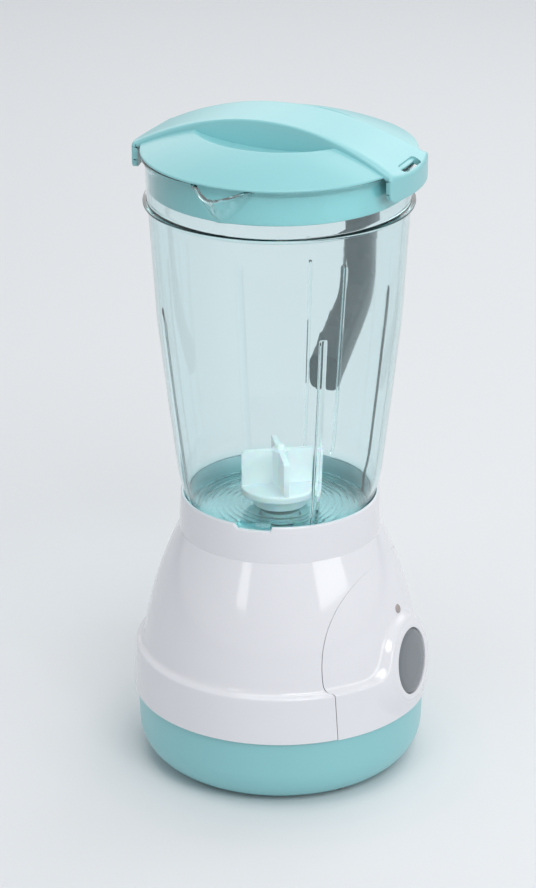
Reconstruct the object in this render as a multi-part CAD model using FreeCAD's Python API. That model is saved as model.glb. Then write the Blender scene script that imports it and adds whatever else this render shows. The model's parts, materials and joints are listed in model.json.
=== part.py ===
import FreeCAD, Part
import math
import os

os.makedirs("parts", exist_ok=True)

# Toy blender. Millimetres, +Z up, origin on the table under the base's axis.
# The button faces -Y, the spout points to -X and the handle to +X.

# Clearances
loose_gap = 0.3        # between pieces that part or slide past each other
running_gap = 0.05     # radial, a shaft in its bush
seam_gap = 0.25        # visible seam round the front panel
rest_gap = 0.1         # a cell or screw beside what holds it

# Base: heights of its stretches, from the table up
pad_drop = 1.3         # rubber pads below the cover
cover_height = 26.7
band_height = 18.8
shoulder_rise = 9.0
bell_height = 38.0
collar_height = 14.3
base_wall = 2.2
cover_flat_radius = 45.5
cover_knee_radius = 54.3
cover_knee_rise = 12.5
cover_rim_radius = 54.9
tongue_height = 3.0
tongue_wall = 1.6
skirt_radius = 56.1
shoulder_radius = 55.2
bell_foot_radius = 51.1
bell_bulge = 1.5       # how far the bell's side stands out from a straight cone
crease_radius = 38.3
collar_radius = 37.5
collar_lip_round = 1.1

# Front panel and button
panel_half_width = 38.6
panel_band_half_width = 38.2
panel_top_drop = 7.6   # below the crease
panel_arch = (0.8, 0.95)   # powers of the arch's superellipse: across, up
arch_steps = 5         # points each side of the arch's top
button_radius = 12.3
button_centre_height = 46.6
button_face_reach = 54.8
button_lean = 7.8      # degrees, the face leans back
button_travel = 2.5
button_wall = 1.6
button_skirt_depth = 6.0
button_flange = 1.3
button_flange_thickness = 1.2
button_stem_radius = 2.4
boss_ring_width = 2.7
boss_spread = 0.6      # side growth per depth
boss_front_wall = 2.4
boss_root = 2.1         # of the boss behind the bell's inner face

# Switch, board and light
board_set_back = 8.0     # behind the boss
board_thickness = 1.6
board_width = 38.0
board_below = 9.0
board_above = 27.0
board_post_radius = 2.0
board_post_offset = 16.4
switch_side = 6.0
switch_height = 4.6
plunger_radius = 1.7
plunger_hold = 1.0      # of the plunger inside the switch at rest
spring_wire = 0.7
runs_per_turn = 18
spring_radius = 5.7
spring_turn_count = 4
cell_spring_radius = 3.6
cell_spring_turn_count = 3
chip_radius = 5.0
chip_height = 1.5
wire_radius = 0.6
lead_straight = 4.0      # of a lead at its ends
lead_sag = 6.0           # under the motor
motor_pad = (13.0, 10.0)   # where leads leave the board: side, up
cell_pad = (15.0, -5.0)
speaker_pad = (4.0, -6.0)
led_height = 67.2
led_lean = 24.0
lens_radius = 1.8
lens_length = 4.0
lamp_radius = 1.5
lamp_length = 4.4

# Jug
socket_depth = 12.6
jug_wall = 1.5
foot_radius = 35.9
foot_ring_width = 2.7
knee_radius = 38.6
knee_rise = 9.4
foot_bulge = 0.45
wall_bulge = 0.55
ledge_radius = 48.0
wall_height = 104.5
bead_reach = 1.8
bead_thickness = 1.2
neck_height = 17.0
neck_top_radius = 48.9
lip_radius = 50.4
lip_thickness = 1.2
floor_rise = 6.4
floor_thickness = 1.8
gutter_width = 1.8
gutter_drop = 1.0
ring_width = 1.2
ring_height = 0.9
boss_radius = 8.0
boss_height = 3.8
inner_rib_width = 2.4
inner_rib_height = 1.0
inner_rib_drop = 58.0   # rib tops below the rim, also the handle's guides'
inner_rib_angles = (45.0, 135.0, 225.0, 315.0)
guide_rib_width = 1.0
guide_rib_height = 1.1
lug_half_angle = 10.0
lug_height = 2.3
lug_reach = 1.2
lug_angles = (-81.0, 99.0)
spout_reach = 14.9
spout_half_width = 11.6
spout_drop = 17.5
spout_steps = ((1.0, 0.06, 0.3), (0.75, 0.13, 0.4), (0.5, 0.31, 0.6), (0.25, 0.62, 0.8),
               (0.0, 1.0, 1.0))   # share of the drop, of the reach, of the half width

# Handle
handle_width = 13.0
handle_thickness = 11.5
handle_reach = 86.4
handle_top_drop = 13.2   # below the rim
handle_foot_rise = 25.2  # outer foot above the collar's top
handle_slope = 0.58
handle_top_round = 10.5
handle_foot_round = 21.0
handle_inner_round = 4.5
handle_edge_round = 3.0
handle_root_depth = 8.0   # the bar is drawn from this far inside the neck's radius

# Lid
lid_edge = 1.1
lid_dome = 10.9
lid_wall = 1.8
plug_wall = 1.5
plug_depth = 13.3
plug_gap = 0.35
strap_rise = 2.1
strap_end_height = 2.2   # the strap's top above the rim plane, over the rim
strap_middle_half_width = 12.5
strap_end_half_width = 18.0
tab_reach = 3.2          # past the lip
tab_wall = 2.0
tab_depth = 10.6
tab_round = 4.0
scoop_radius = 34.7
scoop_offset = 3.8
scoop_depth = 7.5
scoop_centre_drop = 1.5
slot_length = 15.0
slot_width = 3.8
slot_inset = 2.6

# Drive
shaft_radius = 1.5
coupling_radius = 7.5
coupling_disc = 1.5
coupling_play = 0.4
lug_rise = 2.0
lug_inner_radius = 3.6
lug_span = 50.0
lug_count = 3
hub_hole_radius = 8.3
web_thickness = 2.2
cup_wall = 2.2
bush_radius = 3.5
bush_flange_radius = 5.2
bush_flange = 1.0
bush_length = 3.4
gear_module = 0.8
gear_tooth_count = 32
pinion_tooth_count = 12
gear_backlash = 0.18
gear_width = 4.0
gear_drop = 11.7         # gear's top below the bush
sleeve_radius = 3.2
plate_thickness = 2.2
plate_play = 2.0
plate_pocket = 2.5
post_radius = 3.2
post_pilot_radius = 1.2
post_spots = ((-24.0, 8.0), (24.0, 8.0), (0.0, -20.0))
plate_margin = 5.0       # of the plate round its posts
motor_radius = 10.0
motor_flat = 7.7
motor_length = 25.0
motor_tag = 3.0
tag_side = 4.0
contact_inset = 3.0      # of the leads' ends from the battery box's end
motor_nose_radius = 3.0
motor_nose = 1.2
motor_shaft_radius = 1.0
motor_cup_wall = 1.7
motor_cup_depth = 6.0

# Impeller
impeller_radius = 14.9
impeller_disc = 3.2
vane_height = 13.7
vane_thickness = 2.0
vane_corner = 1.5
vane_turn = 34.0         # degrees
skirt_outer_radius = 10.3
skirt_wall = 1.4
hub_radius = 3.1
pin_radius = 1.7
pin_height = 2.1
washer_radius = 3.4
washer_thickness = 0.3

# Batteries, speaker and fasteners
cell_radius = 7.2
cell_length = 49.5
cell_nub = 1.0
cell_nub_radius = 2.7
cell_count = 3
cell_pitch = 15.1
contact_room = 6.5
contact_plate = 0.4
box_wall = 1.8
box_centre_y = 10.0
door_thickness = 2.0
door_lip = 1.0
door_tab_width = 12.0
door_tab_reach = 8.6
grip_count = 4           # grooves for the fingertips
grip_width = 1.2
grip_depth = 0.5
grip_half_length = 9.0
grip_inset = 3.0
speaker_radius = 13.3
speaker_centre_y = -30.0
speaker_height = 9.0
speaker_flange = 1.5
magnet_radius = 7.5
magnet_height = 3.5
grille_hole_radius = 1.0
grille_pitch = 4.5
grille_ring_count = 2    # rings round the middle hole
case_screw_circle = 40.5
case_screw_angles = (12.0, 168.0, 215.0, 325.0)
screw_radius = 1.4
screw_head_radius = 2.7
screw_head = 1.8
small_head_radius = 2.4
slot_half_width = 0.35
pilot_bite = 0.2         # pilots in the door's nut are this much under the screw's radius
door_screw_head = 0.9
door_screw_length = 8.0
door_nut_height = 8.0
screw_grip = 10.0
well_wall = 1.6
well_seat = 11.0
pad_circle = 40.8
pad_angles = (33.0, 147.0, 235.0, 305.0)
pad_radius = 3.6
pad_recess = 0.6

# Heights and radii that follow
cover_z = pad_drop
seam_z = cover_z + cover_height
shoulder_z = seam_z + band_height
bell_foot_z = shoulder_z + shoulder_rise
crease_z = bell_foot_z + bell_height
collar_z = crease_z + collar_height
socket_z = collar_z - socket_depth
socket_radius = foot_radius + loose_gap
foot_z = socket_z + loose_gap
floor_z = foot_z + floor_rise
floor_under_z = floor_z - floor_thickness
knee_z = collar_z + knee_rise
ledge_z = knee_z + wall_height
rim_z = ledge_z + bead_thickness + neck_height + lip_thickness
neck_inner_radius = neck_top_radius - jug_wall
web_top_z = socket_z - base_wall - coupling_play
web_z = web_top_z - web_thickness
drive_disc_z = web_top_z + coupling_play + rest_gap
drive_lug_z = drive_disc_z + coupling_disc + rest_gap
driven_disc_z = drive_lug_z + lug_rise + coupling_play
bush_z = web_z - bush_flange
gear_top_z = bush_z - gear_drop
gear_z = gear_top_z - gear_width
plate_top_z = gear_z - plate_play
plate_z = plate_top_z - plate_thickness
gear_radius = gear_module * gear_tooth_count / 2
pinion_radius = gear_module * pinion_tooth_count / 2
motor_y = gear_radius + pinion_radius
impeller_z = floor_z + boss_height + bush_flange + coupling_play
vane_top_z = impeller_z + impeller_disc + vane_height
cover_floor_z = cover_z + base_wall
cell_z = cover_z + door_thickness + loose_gap + cell_radius
box_half_length = (cell_length + cell_nub + contact_room) / 2
box_half_width = (cell_count - 1) * cell_pitch / 2 + cell_radius + loose_gap
box_top_z = cell_z + cell_radius + loose_gap
boss_depth = button_face_reach - bell_foot_radius + base_wall + boss_root
board_depth = boss_depth + board_set_back
switch_face = board_depth - switch_height
stem_end = switch_face - button_travel - rest_gap
door_screw_y = box_centre_y + box_half_width + door_lip + door_tab_reach - door_tab_width / 2


def vec(x, y, z):
    return FreeCAD.Vector(x, y, z)


def lines(*points):
    """Straight edges through points given as (radius, height)."""
    pairs = zip(points[:-1], points[1:])
    return [Part.LineSegment(vec(a[0], 0, a[1]), vec(b[0], 0, b[1])).toShape() for a, b in pairs]


def arc(a, middle, b):
    points = [vec(p[0], 0, p[1]) for p in (a, middle, b)]
    return [Part.Arc(*points).toShape()]


def bowed(a, b, bulge):
    """An arc from a to b that stands out from the chord by bulge, to the chord's right."""
    length = math.hypot(b[0] - a[0], b[1] - a[1])
    across = ((b[1] - a[1]) / length, (a[0] - b[0]) / length)
    middle = ((a[0] + b[0]) / 2 + across[0] * bulge, (a[1] + b[1]) / 2 + across[1] * bulge)
    return arc(a, middle, b)


def turned(edges):
    """Solid of revolution about Z of a closed outline."""
    face = Part.Face(Part.Wire(Part.sortEdges(edges)[0]))
    return face.revolve(vec(0, 0, 0), vec(0, 0, 1), 360)


def pipe(outer, inner, z0, z1, x=0.0, y=0.0):
    """Upright tube; a rod where inner is zero."""
    rod = Part.makeCylinder(outer, z1 - z0, vec(x, y, z0))
    if inner <= 0:
        return rod
    return rod.cut(Part.makeCylinder(inner, z1 - z0, vec(x, y, z0)))


def block(x0, x1, y0, y1, z0, z1):
    return Part.makeBox(x1 - x0, y1 - y0, z1 - z0, vec(x0, y0, z0))


def sector(inner, outer, z0, z1, middle, half_angle):
    """Piece of a ring about Z; angles in degrees from -Y, towards +X."""
    ring = Part.makeCylinder(outer, z1 - z0, vec(0, 0, z0), vec(0, 0, 1), 2 * half_angle)
    ring = ring.cut(Part.makeCylinder(inner, z1 - z0, vec(0, 0, z0)))
    ring.rotate(vec(0, 0, 0), vec(0, 0, 1), middle - 90 - half_angle)
    return ring


def around(shape, angles):
    """Copies of a shape turned about Z."""
    copies = []
    for angle in angles:
        copy = shape.copy()
        copy.rotate(vec(0, 0, 0), vec(0, 0, 1), angle)
        copies.append(copy)
    return copies


def joined(shapes):
    first = shapes[0]
    return first.fuse(shapes[1:]).removeSplitter()


def on_circle(radius, angle):
    return radius * math.cos(math.radians(angle)), radius * math.sin(math.radians(angle))


# Base shell outlines

def shell_outside():
    """Outer edges of the housing, from the seam up to the crease."""
    seam = (skirt_radius, seam_z)
    crest = (shoulder_radius, shoulder_z)
    cove = (bell_foot_radius + 1.2, bell_foot_z - 2.5)
    bell_foot = (bell_foot_radius, bell_foot_z)
    crease = (crease_radius, crease_z)
    edges = lines(seam, crest)
    edges += bowed(crest, cove, 0.9)
    edges += bowed(cove, bell_foot, -0.3)
    edges += bowed(bell_foot, crease, bell_bulge)
    return edges


def housing_block():
    """The housing's outer form as a filled solid, for clipping what is inside it."""
    edges = shell_outside()
    edges += lines((crease_radius, crease_z), (0, crease_z), (0, seam_z), (skirt_radius, seam_z))
    return turned(edges)


def housing_shell():
    collar_foot = (collar_radius + 0.6, crease_z)
    lip_foot = (collar_radius, collar_z - collar_lip_round)
    lip_top = (collar_radius - collar_lip_round, collar_z)
    floor_under = socket_z - base_wall
    inner_top = (crease_radius - base_wall, floor_under)
    inner_foot = (bell_foot_radius - base_wall, bell_foot_z)
    edges = shell_outside()
    edges += lines((crease_radius, crease_z), collar_foot, lip_foot)
    edges += bowed(lip_foot, lip_top, collar_lip_round * 0.29)
    edges += lines(lip_top, (socket_radius, collar_z), (socket_radius, socket_z),
                   (hub_hole_radius, socket_z), (hub_hole_radius, web_top_z),
                   (bush_radius, web_top_z), (bush_radius, web_z),
                   (hub_hole_radius + cup_wall, web_z), (hub_hole_radius + cup_wall, floor_under),
                   inner_top)
    edges += bowed(inner_top, inner_foot, -bell_bulge)
    edges += lines(inner_foot, (shoulder_radius - base_wall, shoulder_z),
                   (skirt_radius - base_wall, seam_z), (skirt_radius, seam_z))
    return turned(edges)


# Button frame: the face's centre, and the direction it faces

face_centre = vec(0, -button_face_reach, button_centre_height)
face_out = vec(0, -math.cos(math.radians(button_lean)), math.sin(math.radians(button_lean)))
face_up = vec(0, math.sin(math.radians(button_lean)), math.cos(math.radians(button_lean)))


def at_depth(depth, side=0.0, up=0.0):
    """Point behind the button's face."""
    return face_centre - face_out * depth + vec(1, 0, 0) * side + face_up * up


def rod_in(radius, depth0, depth1, side=0.0, up=0.0):
    """Rod along the button's axis between two depths."""
    return Part.makeCylinder(radius, depth1 - depth0, at_depth(depth0, side, up), face_out * -1)


def plate_in(width0, width1, up0, up1, depth0, depth1):
    """Flat block parallel to the button's face."""
    corners = [at_depth(depth0, side, up)
               for side, up in ((width0, up0), (width1, up0), (width1, up1), (width0, up1))]
    return Part.Face(Part.makePolygon(corners + corners[:1])).extrude(face_out * -(depth1 - depth0))


def panel_prism(extra):
    """Everything in front of the axis that belongs to the arch-shaped front panel."""
    half = panel_half_width + extra
    band = panel_band_half_width + extra
    top = crease_z - panel_top_drop + extra
    rise = top - shoulder_z
    arch = []
    for step in range(-arch_steps, arch_steps + 1):
        turn = math.radians(90 * (1 - abs(step) / arch_steps))
        across = math.copysign(half * math.cos(turn) ** panel_arch[0], step)
        arch.append(vec(across, 0, shoulder_z + rise * math.sin(turn) ** panel_arch[1]))
    curve = Part.BSplineCurve()
    curve.interpolate(arch)
    foot = [vec(half, 0, shoulder_z), vec(band, 0, shoulder_z), vec(band, 0, seam_z - base_wall),
            vec(-band, 0, seam_z - base_wall), vec(-band, 0, shoulder_z), vec(-half, 0, shoulder_z)]
    outline = Part.Wire([curve.toShape()] + Part.makePolygon(foot).Edges)
    return Part.Face(outline).extrude(vec(0, -2 * skirt_radius, 0))


def button_boss():
    """Raised ring round the button; it spreads as it goes back into the bell."""
    front = button_radius + loose_gap + boss_ring_width
    back = front + boss_spread * boss_depth
    cone = Part.makeCone(front, back, boss_depth, at_depth(0), face_out * -1)
    face_edges = [e for e in cone.Edges if abs(e.Length - 2 * math.pi * front) < 0.01]
    return cone.makeFillet(boss_ring_width * 0.35, face_edges)


def lens_axis():
    lean = math.radians(led_lean)
    return vec(0, -math.cos(lean), math.sin(lean))


def bell_radius_at(z):
    """Outer radius of the bell's side at a height, from its arc."""
    side = Part.makeLine(vec(0, 0, z), vec(2 * skirt_radius, 0, z))
    bell = bowed((bell_foot_radius, bell_foot_z), (crease_radius, crease_z), bell_bulge)[0]
    return bell.distToShape(side)[1][0][0].x


lens_face = vec(0, -bell_radius_at(led_height), led_height)


def front_bores():
    """What is taken out of the front: the button's well, the flange's room and the lens hole."""
    well = rod_in(button_radius + loose_gap, -1, boss_front_wall)
    room = rod_in(button_radius + button_flange + loose_gap, boss_front_wall, boss_depth + 2)
    lens = Part.makeCylinder(lens_radius, 3 * base_wall, lens_face + lens_axis() * base_wall,
                             lens_axis() * -1)
    return [well, room, lens]


def posts_for_board():
    side = board_post_offset
    return [rod_in(board_post_radius, boss_front_wall, board_depth, x) for x in (-side, side)]


def whole_shell():
    """Housing and front panel before they are parted."""
    tongue_room = pipe(skirt_radius - base_wall, 0, 0, seam_z + tongue_height + loose_gap)
    below_seam = pipe(2 * skirt_radius, 0, 0, seam_z)
    behind = block(-skirt_radius, skirt_radius, boss_depth - button_face_reach, skirt_radius,
                   0, crease_z)
    boss = button_boss().cut([tongue_room, below_seam, behind])
    return housing_shell().fuse(boss).cut(front_bores())


def case_post(angle):
    x, y = on_circle(case_screw_circle, angle)
    post = pipe(screw_head_radius + well_wall, 0, seam_z, crease_z, x, y)
    pilot = pipe(screw_radius, 0, seam_z, seam_z + screw_grip + 2, x, y)
    return post.common(housing_block()).cut(pilot)


def gear_post(spot):
    post = pipe(post_radius, 0, plate_top_z, socket_z - base_wall, *spot)
    pilot = pipe(post_pilot_radius, 0, plate_top_z, plate_top_z + screw_grip, *spot)
    return post.cut(pilot)


def base_housing(shell):
    notches = [sector(socket_radius - 1, collar_radius + 1, collar_z - lug_height - rest_gap,
                      collar_z + 1, angle, lug_half_angle + 0.6) for angle in lug_angles]
    posts = [case_post(angle) for angle in case_screw_angles]
    posts += [gear_post(spot) for spot in post_spots]
    return joined([shell.cut(panel_prism(seam_gap))] + posts).cut(notches)


def front_panel(shell):
    panel = shell.common(panel_prism(0))
    posts = [p.common(housing_block()).cut(front_bores()) for p in posts_for_board()]
    return joined([panel] + posts)


def push_button():
    skirt = rod_in(button_radius, 0, button_skirt_depth)
    edges = [e for e in skirt.Edges if e.CenterOfMass.distanceToPoint(at_depth(0)) < 0.01]
    skirt = skirt.makeFillet(0.7, edges)
    hollow = rod_in(button_radius - button_wall, button_wall, button_skirt_depth)
    flange_depth = boss_front_wall + rest_gap
    flange = rod_in(button_radius + button_flange, flange_depth, flange_depth + button_flange_thickness)
    stem = rod_in(button_stem_radius, button_wall, stem_end)
    return joined([skirt.fuse(flange).cut(hollow), stem])


def switch_plunger():
    return rod_in(plunger_radius, stem_end, switch_face + plunger_hold)


def tact_switch():
    half = switch_side / 2
    body = plate_in(-half, half, -half, half, switch_face, board_depth)
    bore_end = switch_face + plunger_hold + button_travel + loose_gap
    return body.cut(rod_in(plunger_radius + running_gap, switch_face, bore_end))


def helix_spring(radius, wire, turns, length):
    """Compression spring standing on the XY plane, as tall as its length, coiled in short runs."""
    steps = runs_per_turn * turns
    points = []
    for step in range(steps + 1):
        x, y = on_circle(radius, 360 * turns * step / steps)
        points.append(vec(x, y, wire / 2 + (length - wire) * step / steps))
    section = Part.Wire(Part.makeCircle(wire / 2, points[0], points[1] - points[0]))
    mitred = 1
    return Part.makePolygon(points).makePipeShell([section], True, True, mitred)


def placed_along(shape, point, direction):
    shape.Placement = FreeCAD.Placement(point, FreeCAD.Rotation(vec(0, 0, 1), direction)) \
        .multiply(shape.Placement)
    return shape


def button_spring():
    length = board_depth - button_wall - 2 * rest_gap
    spring = helix_spring(spring_radius, spring_wire, spring_turn_count, length)
    return placed_along(spring, at_depth(board_depth - rest_gap), face_out)


def circuit_board():
    half = board_width / 2
    return plate_in(-half, half, -board_below, board_above, board_depth, board_depth + board_thickness)


def sound_chip():
    back = board_depth + board_thickness
    return rod_in(chip_radius, back, back + chip_height, -board_width / 4)


def led_lens():
    proud = 0.5
    lens = Part.makeCylinder(lens_radius - rest_gap / 2, lens_length, lens_face + lens_axis() * proud,
                             lens_axis() * -1)
    front = [e for e in lens.Edges
             if e.CenterOfMass.distanceToPoint(lens_face + lens_axis() * proud) < 0.01]
    return lens.makeFillet(0.7, front)


def led_lamp():
    """Small lamp whose nose points at the lens and whose legs run back to the board."""
    nose = lens_face - lens_axis() * (lens_length - 0.5 + rest_gap)
    body = Part.makeCylinder(lamp_radius, lamp_length, nose, lens_axis() * -1)
    rim = Part.makeCylinder(lamp_radius + 0.4, 0.8, nose - lens_axis() * (lamp_length - 0.8),
                            lens_axis() * -1)
    legs = []
    for side in (-0.65, 0.65):
        start = nose - lens_axis() * lamp_length + vec(side, 0, 0)
        depth = (face_centre - start).dot(face_out)
        length = (board_depth - depth) / abs(lens_axis().dot(face_out)) - rest_gap
        legs.append(Part.makeCylinder(0.25, length, start, lens_axis() * -1))
    return joined([body, rim] + legs)


# Cover, batteries and speaker

def rounded_block(half_x, half_y, z0, z1, centre_y, corner):
    solid = block(-half_x, half_x, centre_y - half_y, centre_y + half_y, z0, z1)
    uprights = [e for e in solid.Edges if abs(e.Length - (z1 - z0)) < 1e-6
                and abs(e.Vertexes[0].X - e.Vertexes[1].X) < 1e-6
                and abs(e.Vertexes[0].Y - e.Vertexes[1].Y) < 1e-6]
    return solid.makeFillet(corner, uprights)


def door_form(extra, z0, z1):
    """The battery door's outline with its screw tab, grown by extra all round."""
    plate = rounded_block(box_half_length + door_lip + extra, box_half_width + door_lip + extra,
                          z0, z1, box_centre_y, 2.0)
    half = door_tab_width / 2 + extra
    tab = block(-half, half, box_centre_y, door_screw_y, z0, z1)
    end = pipe(half, 0, z0, z1, 0, door_screw_y)
    return joined([plate, tab, end])


def cover_bowl():
    knee_z = cover_z + cover_knee_rise
    top = seam_z - loose_gap
    tongue = skirt_radius - base_wall - loose_gap
    edges = lines((0, cover_z), (cover_flat_radius, cover_z))
    edges += bowed((cover_flat_radius, cover_z), (cover_knee_radius, knee_z), 2.2)
    edges += lines((cover_knee_radius, knee_z), (cover_rim_radius, top), (tongue, top),
                   (tongue, top + tongue_height), (tongue - tongue_wall, top + tongue_height),
                   (tongue - tongue_wall, top - 2), (cover_knee_radius - base_wall, knee_z))
    edges += bowed((cover_knee_radius - base_wall, knee_z),
                   (cover_flat_radius - 1, cover_floor_z), -2.0)
    edges += lines((cover_flat_radius - 1, cover_floor_z), (0, cover_floor_z), (0, cover_z))
    return turned(edges)


def screw_well(x, y, top_z):
    return pipe(screw_head_radius + loose_gap + well_wall, 0, cover_z, top_z, x, y)


def screw_hole(x, y, seat_z, top_z):
    head = pipe(screw_head_radius + loose_gap, 0, cover_z - 1, seat_z, x, y)
    return head.fuse(pipe(screw_radius + loose_gap, 0, seat_z, top_z + 1, x, y))


def base_cover():
    seat_z = cover_z + well_seat
    well_top = seam_z - rest_gap
    wall_x = box_half_length + box_wall
    wall_y = box_half_width + box_wall
    box = rounded_block(wall_x, wall_y, cover_z + rest_gap, box_top_z + box_wall, box_centre_y, 2.0)
    door_rim = door_form(loose_gap + well_wall, cover_z + rest_gap, cover_floor_z + well_wall)
    door_nut = pipe(screw_head_radius + well_wall, 0, cover_floor_z,
                    cover_floor_z + door_nut_height, 0, door_screw_y)
    spots = [on_circle(case_screw_circle, angle) for angle in case_screw_angles]
    wells = [screw_well(x, y, well_top) for x, y in spots]
    speaker_ring = pipe(speaker_radius + loose_gap + 1, speaker_radius + loose_gap,
                        cover_z + rest_gap, cover_floor_z + 3, 0, speaker_centre_y)
    solid = joined([cover_bowl(), box, door_rim, door_nut, speaker_ring] + wells)
    cavity = block(-box_half_length, box_half_length, box_centre_y - box_half_width,
                   box_centre_y + box_half_width, cover_z, box_top_z)
    recess = door_form(loose_gap, cover_z - 1, cover_z + door_thickness + rest_gap)
    pilot = pipe(screw_radius - pilot_bite, 0, cover_z, cover_floor_z + door_nut_height - 1,
                 0, door_screw_y)
    holes = [screw_hole(x, y, seat_z, well_top) for x, y in spots]
    pads = [pipe(pad_radius + rest_gap, 0, cover_z - 1, cover_z + pad_recess,
                 *on_circle(pad_circle, angle)) for angle in pad_angles]
    grille = []
    for ring in range(grille_ring_count + 1):
        count = max(1, 6 * ring)
        for i in range(count):
            x, y = on_circle(ring * grille_pitch, 360 * i / count)
            grille.append(pipe(grille_hole_radius, 0, cover_z - 1, cover_floor_z + 1,
                               x, y + speaker_centre_y))
    return solid.cut([cavity, recess, pilot] + holes + pads + grille)


def battery_door():
    door = door_form(0, cover_z, cover_z + door_thickness)
    hole = pipe(screw_radius + rest_gap, 0, cover_z - 1, cover_z + 5, 0, door_screw_y)
    head = pipe(screw_head_radius + rest_gap, 0, cover_z - 1, cover_z + door_screw_head + rest_gap,
                0, door_screw_y)
    edge = box_centre_y - box_half_width + grip_inset
    grips = [block(-grip_half_length, grip_half_length, edge + 2 * grip_width * i,
                   edge + 2 * grip_width * i + grip_width, cover_z - 1, cover_z + grip_depth)
             for i in range(grip_count)]
    return door.cut([hole, head] + grips)


def screw(spot, head_radius, radius, head_z, seat_z, tip_z):
    """Cross-slotted screw, its head down at head_z and its shank up to tip_z."""
    x, y = spot
    head = pipe(head_radius, 0, head_z, seat_z, x, y)
    rod = pipe(radius, 0, head_z, tip_z, x, y)
    reach = head_radius * 0.67
    top = head_z + (seat_z - head_z) * 0.45
    arms = [block(x - a, x + a, y - b, y + b, head_z - 1, top)
            for a, b in ((reach, slot_half_width), (slot_half_width, reach))]
    return joined([head, rod]).cut(arms)


def door_screw():
    return screw((0, door_screw_y), screw_head_radius, screw_radius - pilot_bite - running_gap,
                 cover_z, cover_z + door_screw_head, cover_z + door_screw_length)


def case_screws():
    seat_z = cover_z + well_seat
    return Part.makeCompound([screw(on_circle(case_screw_circle, angle), screw_head_radius,
                                    screw_radius - rest_gap, seat_z - screw_head, seat_z,
                                    seam_z + screw_grip)
                              for angle in case_screw_angles])


def gearbox_screws():
    return Part.makeCompound([screw(spot, small_head_radius, post_pilot_radius - running_gap,
                                    plate_z - screw_head, plate_z, plate_top_z + screw_grip - 1)
                              for spot in post_spots])


def foot_pad(angle):
    x, y = on_circle(pad_circle, angle)
    pad = pipe(pad_radius, 0, 0, cover_z + pad_recess, x, y)
    low = [e for e in pad.Edges if abs(e.CenterOfMass.z) < 0.01]
    return pad.makeFillet(0.4, low)


def cell_centre(i):
    return box_centre_y + (i - (cell_count - 1) / 2) * cell_pitch


def cell_side(i):
    """+1 where the cell's positive end points to +X; neighbours alternate."""
    return 1 if i % 2 == 0 else -1


def battery_cell(i):
    y = cell_centre(i)
    side = cell_side(i)
    nub_end = box_half_length - contact_plate - rest_gap
    shoulder = nub_end - cell_nub
    along = vec(-side, 0, 0)
    can = Part.makeCylinder(cell_radius, cell_length, vec(side * shoulder, y, cell_z), along)
    rims = [e for e in can.Edges if abs(e.Length - 2 * math.pi * cell_radius) < 0.01]
    can = can.makeFillet(0.6, rims)
    nub = Part.makeCylinder(cell_nub_radius, cell_nub + 1, vec(side * nub_end, y, cell_z), along)
    return joined([can, nub])


def contact_plates():
    plates = []
    half = cell_radius - 1.5
    for i in range(cell_count):
        for side in (-1, 1):
            x = side * (box_half_length - contact_plate / 2)
            plates.append(block(x - contact_plate / 2, x + contact_plate / 2, cell_centre(i) - half,
                                cell_centre(i) + half, cell_z - half, cell_z + half))
    return Part.makeCompound(plates)


def contact_springs():
    springs = []
    length = 2 * box_half_length - cell_length - cell_nub - 2 * contact_plate - 3 * rest_gap
    for i in range(cell_count):
        side = -cell_side(i)
        spring = helix_spring(cell_spring_radius, spring_wire, cell_spring_turn_count, length)
        start = vec(side * (box_half_length - contact_plate - rest_gap), cell_centre(i), cell_z)
        springs.append(placed_along(spring, start, vec(-side, 0, 0)))
    return Part.makeCompound(springs)


def speaker_frame():
    low = cover_floor_z + rest_gap
    wall = 0.8
    edges = lines((speaker_radius, low), (speaker_radius, low + speaker_flange),
                  (magnet_radius + 1.5, low + speaker_height - magnet_height),
                  (magnet_radius, low + speaker_height - magnet_height),
                  (magnet_radius, low + speaker_height), (0, low + speaker_height),
                  (0, low + speaker_height - magnet_height),
                  (magnet_radius + 1, low + speaker_height - magnet_height - wall),
                  (speaker_radius - 2, low + speaker_flange), (speaker_radius - 2, low),
                  (speaker_radius, low))
    frame = turned(edges)
    frame.translate(vec(0, speaker_centre_y, 0))
    return frame


def speaker_cone():
    low = cover_floor_z + rest_gap
    rim = speaker_radius - 2 - rest_gap
    edges = lines((rim, low + 0.4), (rim, low + 0.9), (4, low + 2.6), (0, low + 2.2), (0, low + 1.8),
                  (4, low + 2.1), (rim, low + 0.4))
    cone = turned(edges)
    cone.translate(vec(0, speaker_centre_y, 0))
    return cone


def wire(points):
    """Insulated lead through the points."""
    curve = Part.BSplineCurve()
    curve.interpolate([vec(*p) for p in points])
    path = Part.Wire([curve.toShape()])
    start = path.Edges[0]
    tangent = start.tangentAt(start.FirstParameter)
    section = Part.Wire(Part.makeCircle(wire_radius, vec(*points[0]), tangent))
    return path.makePipeShell([section], True, False)


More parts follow.
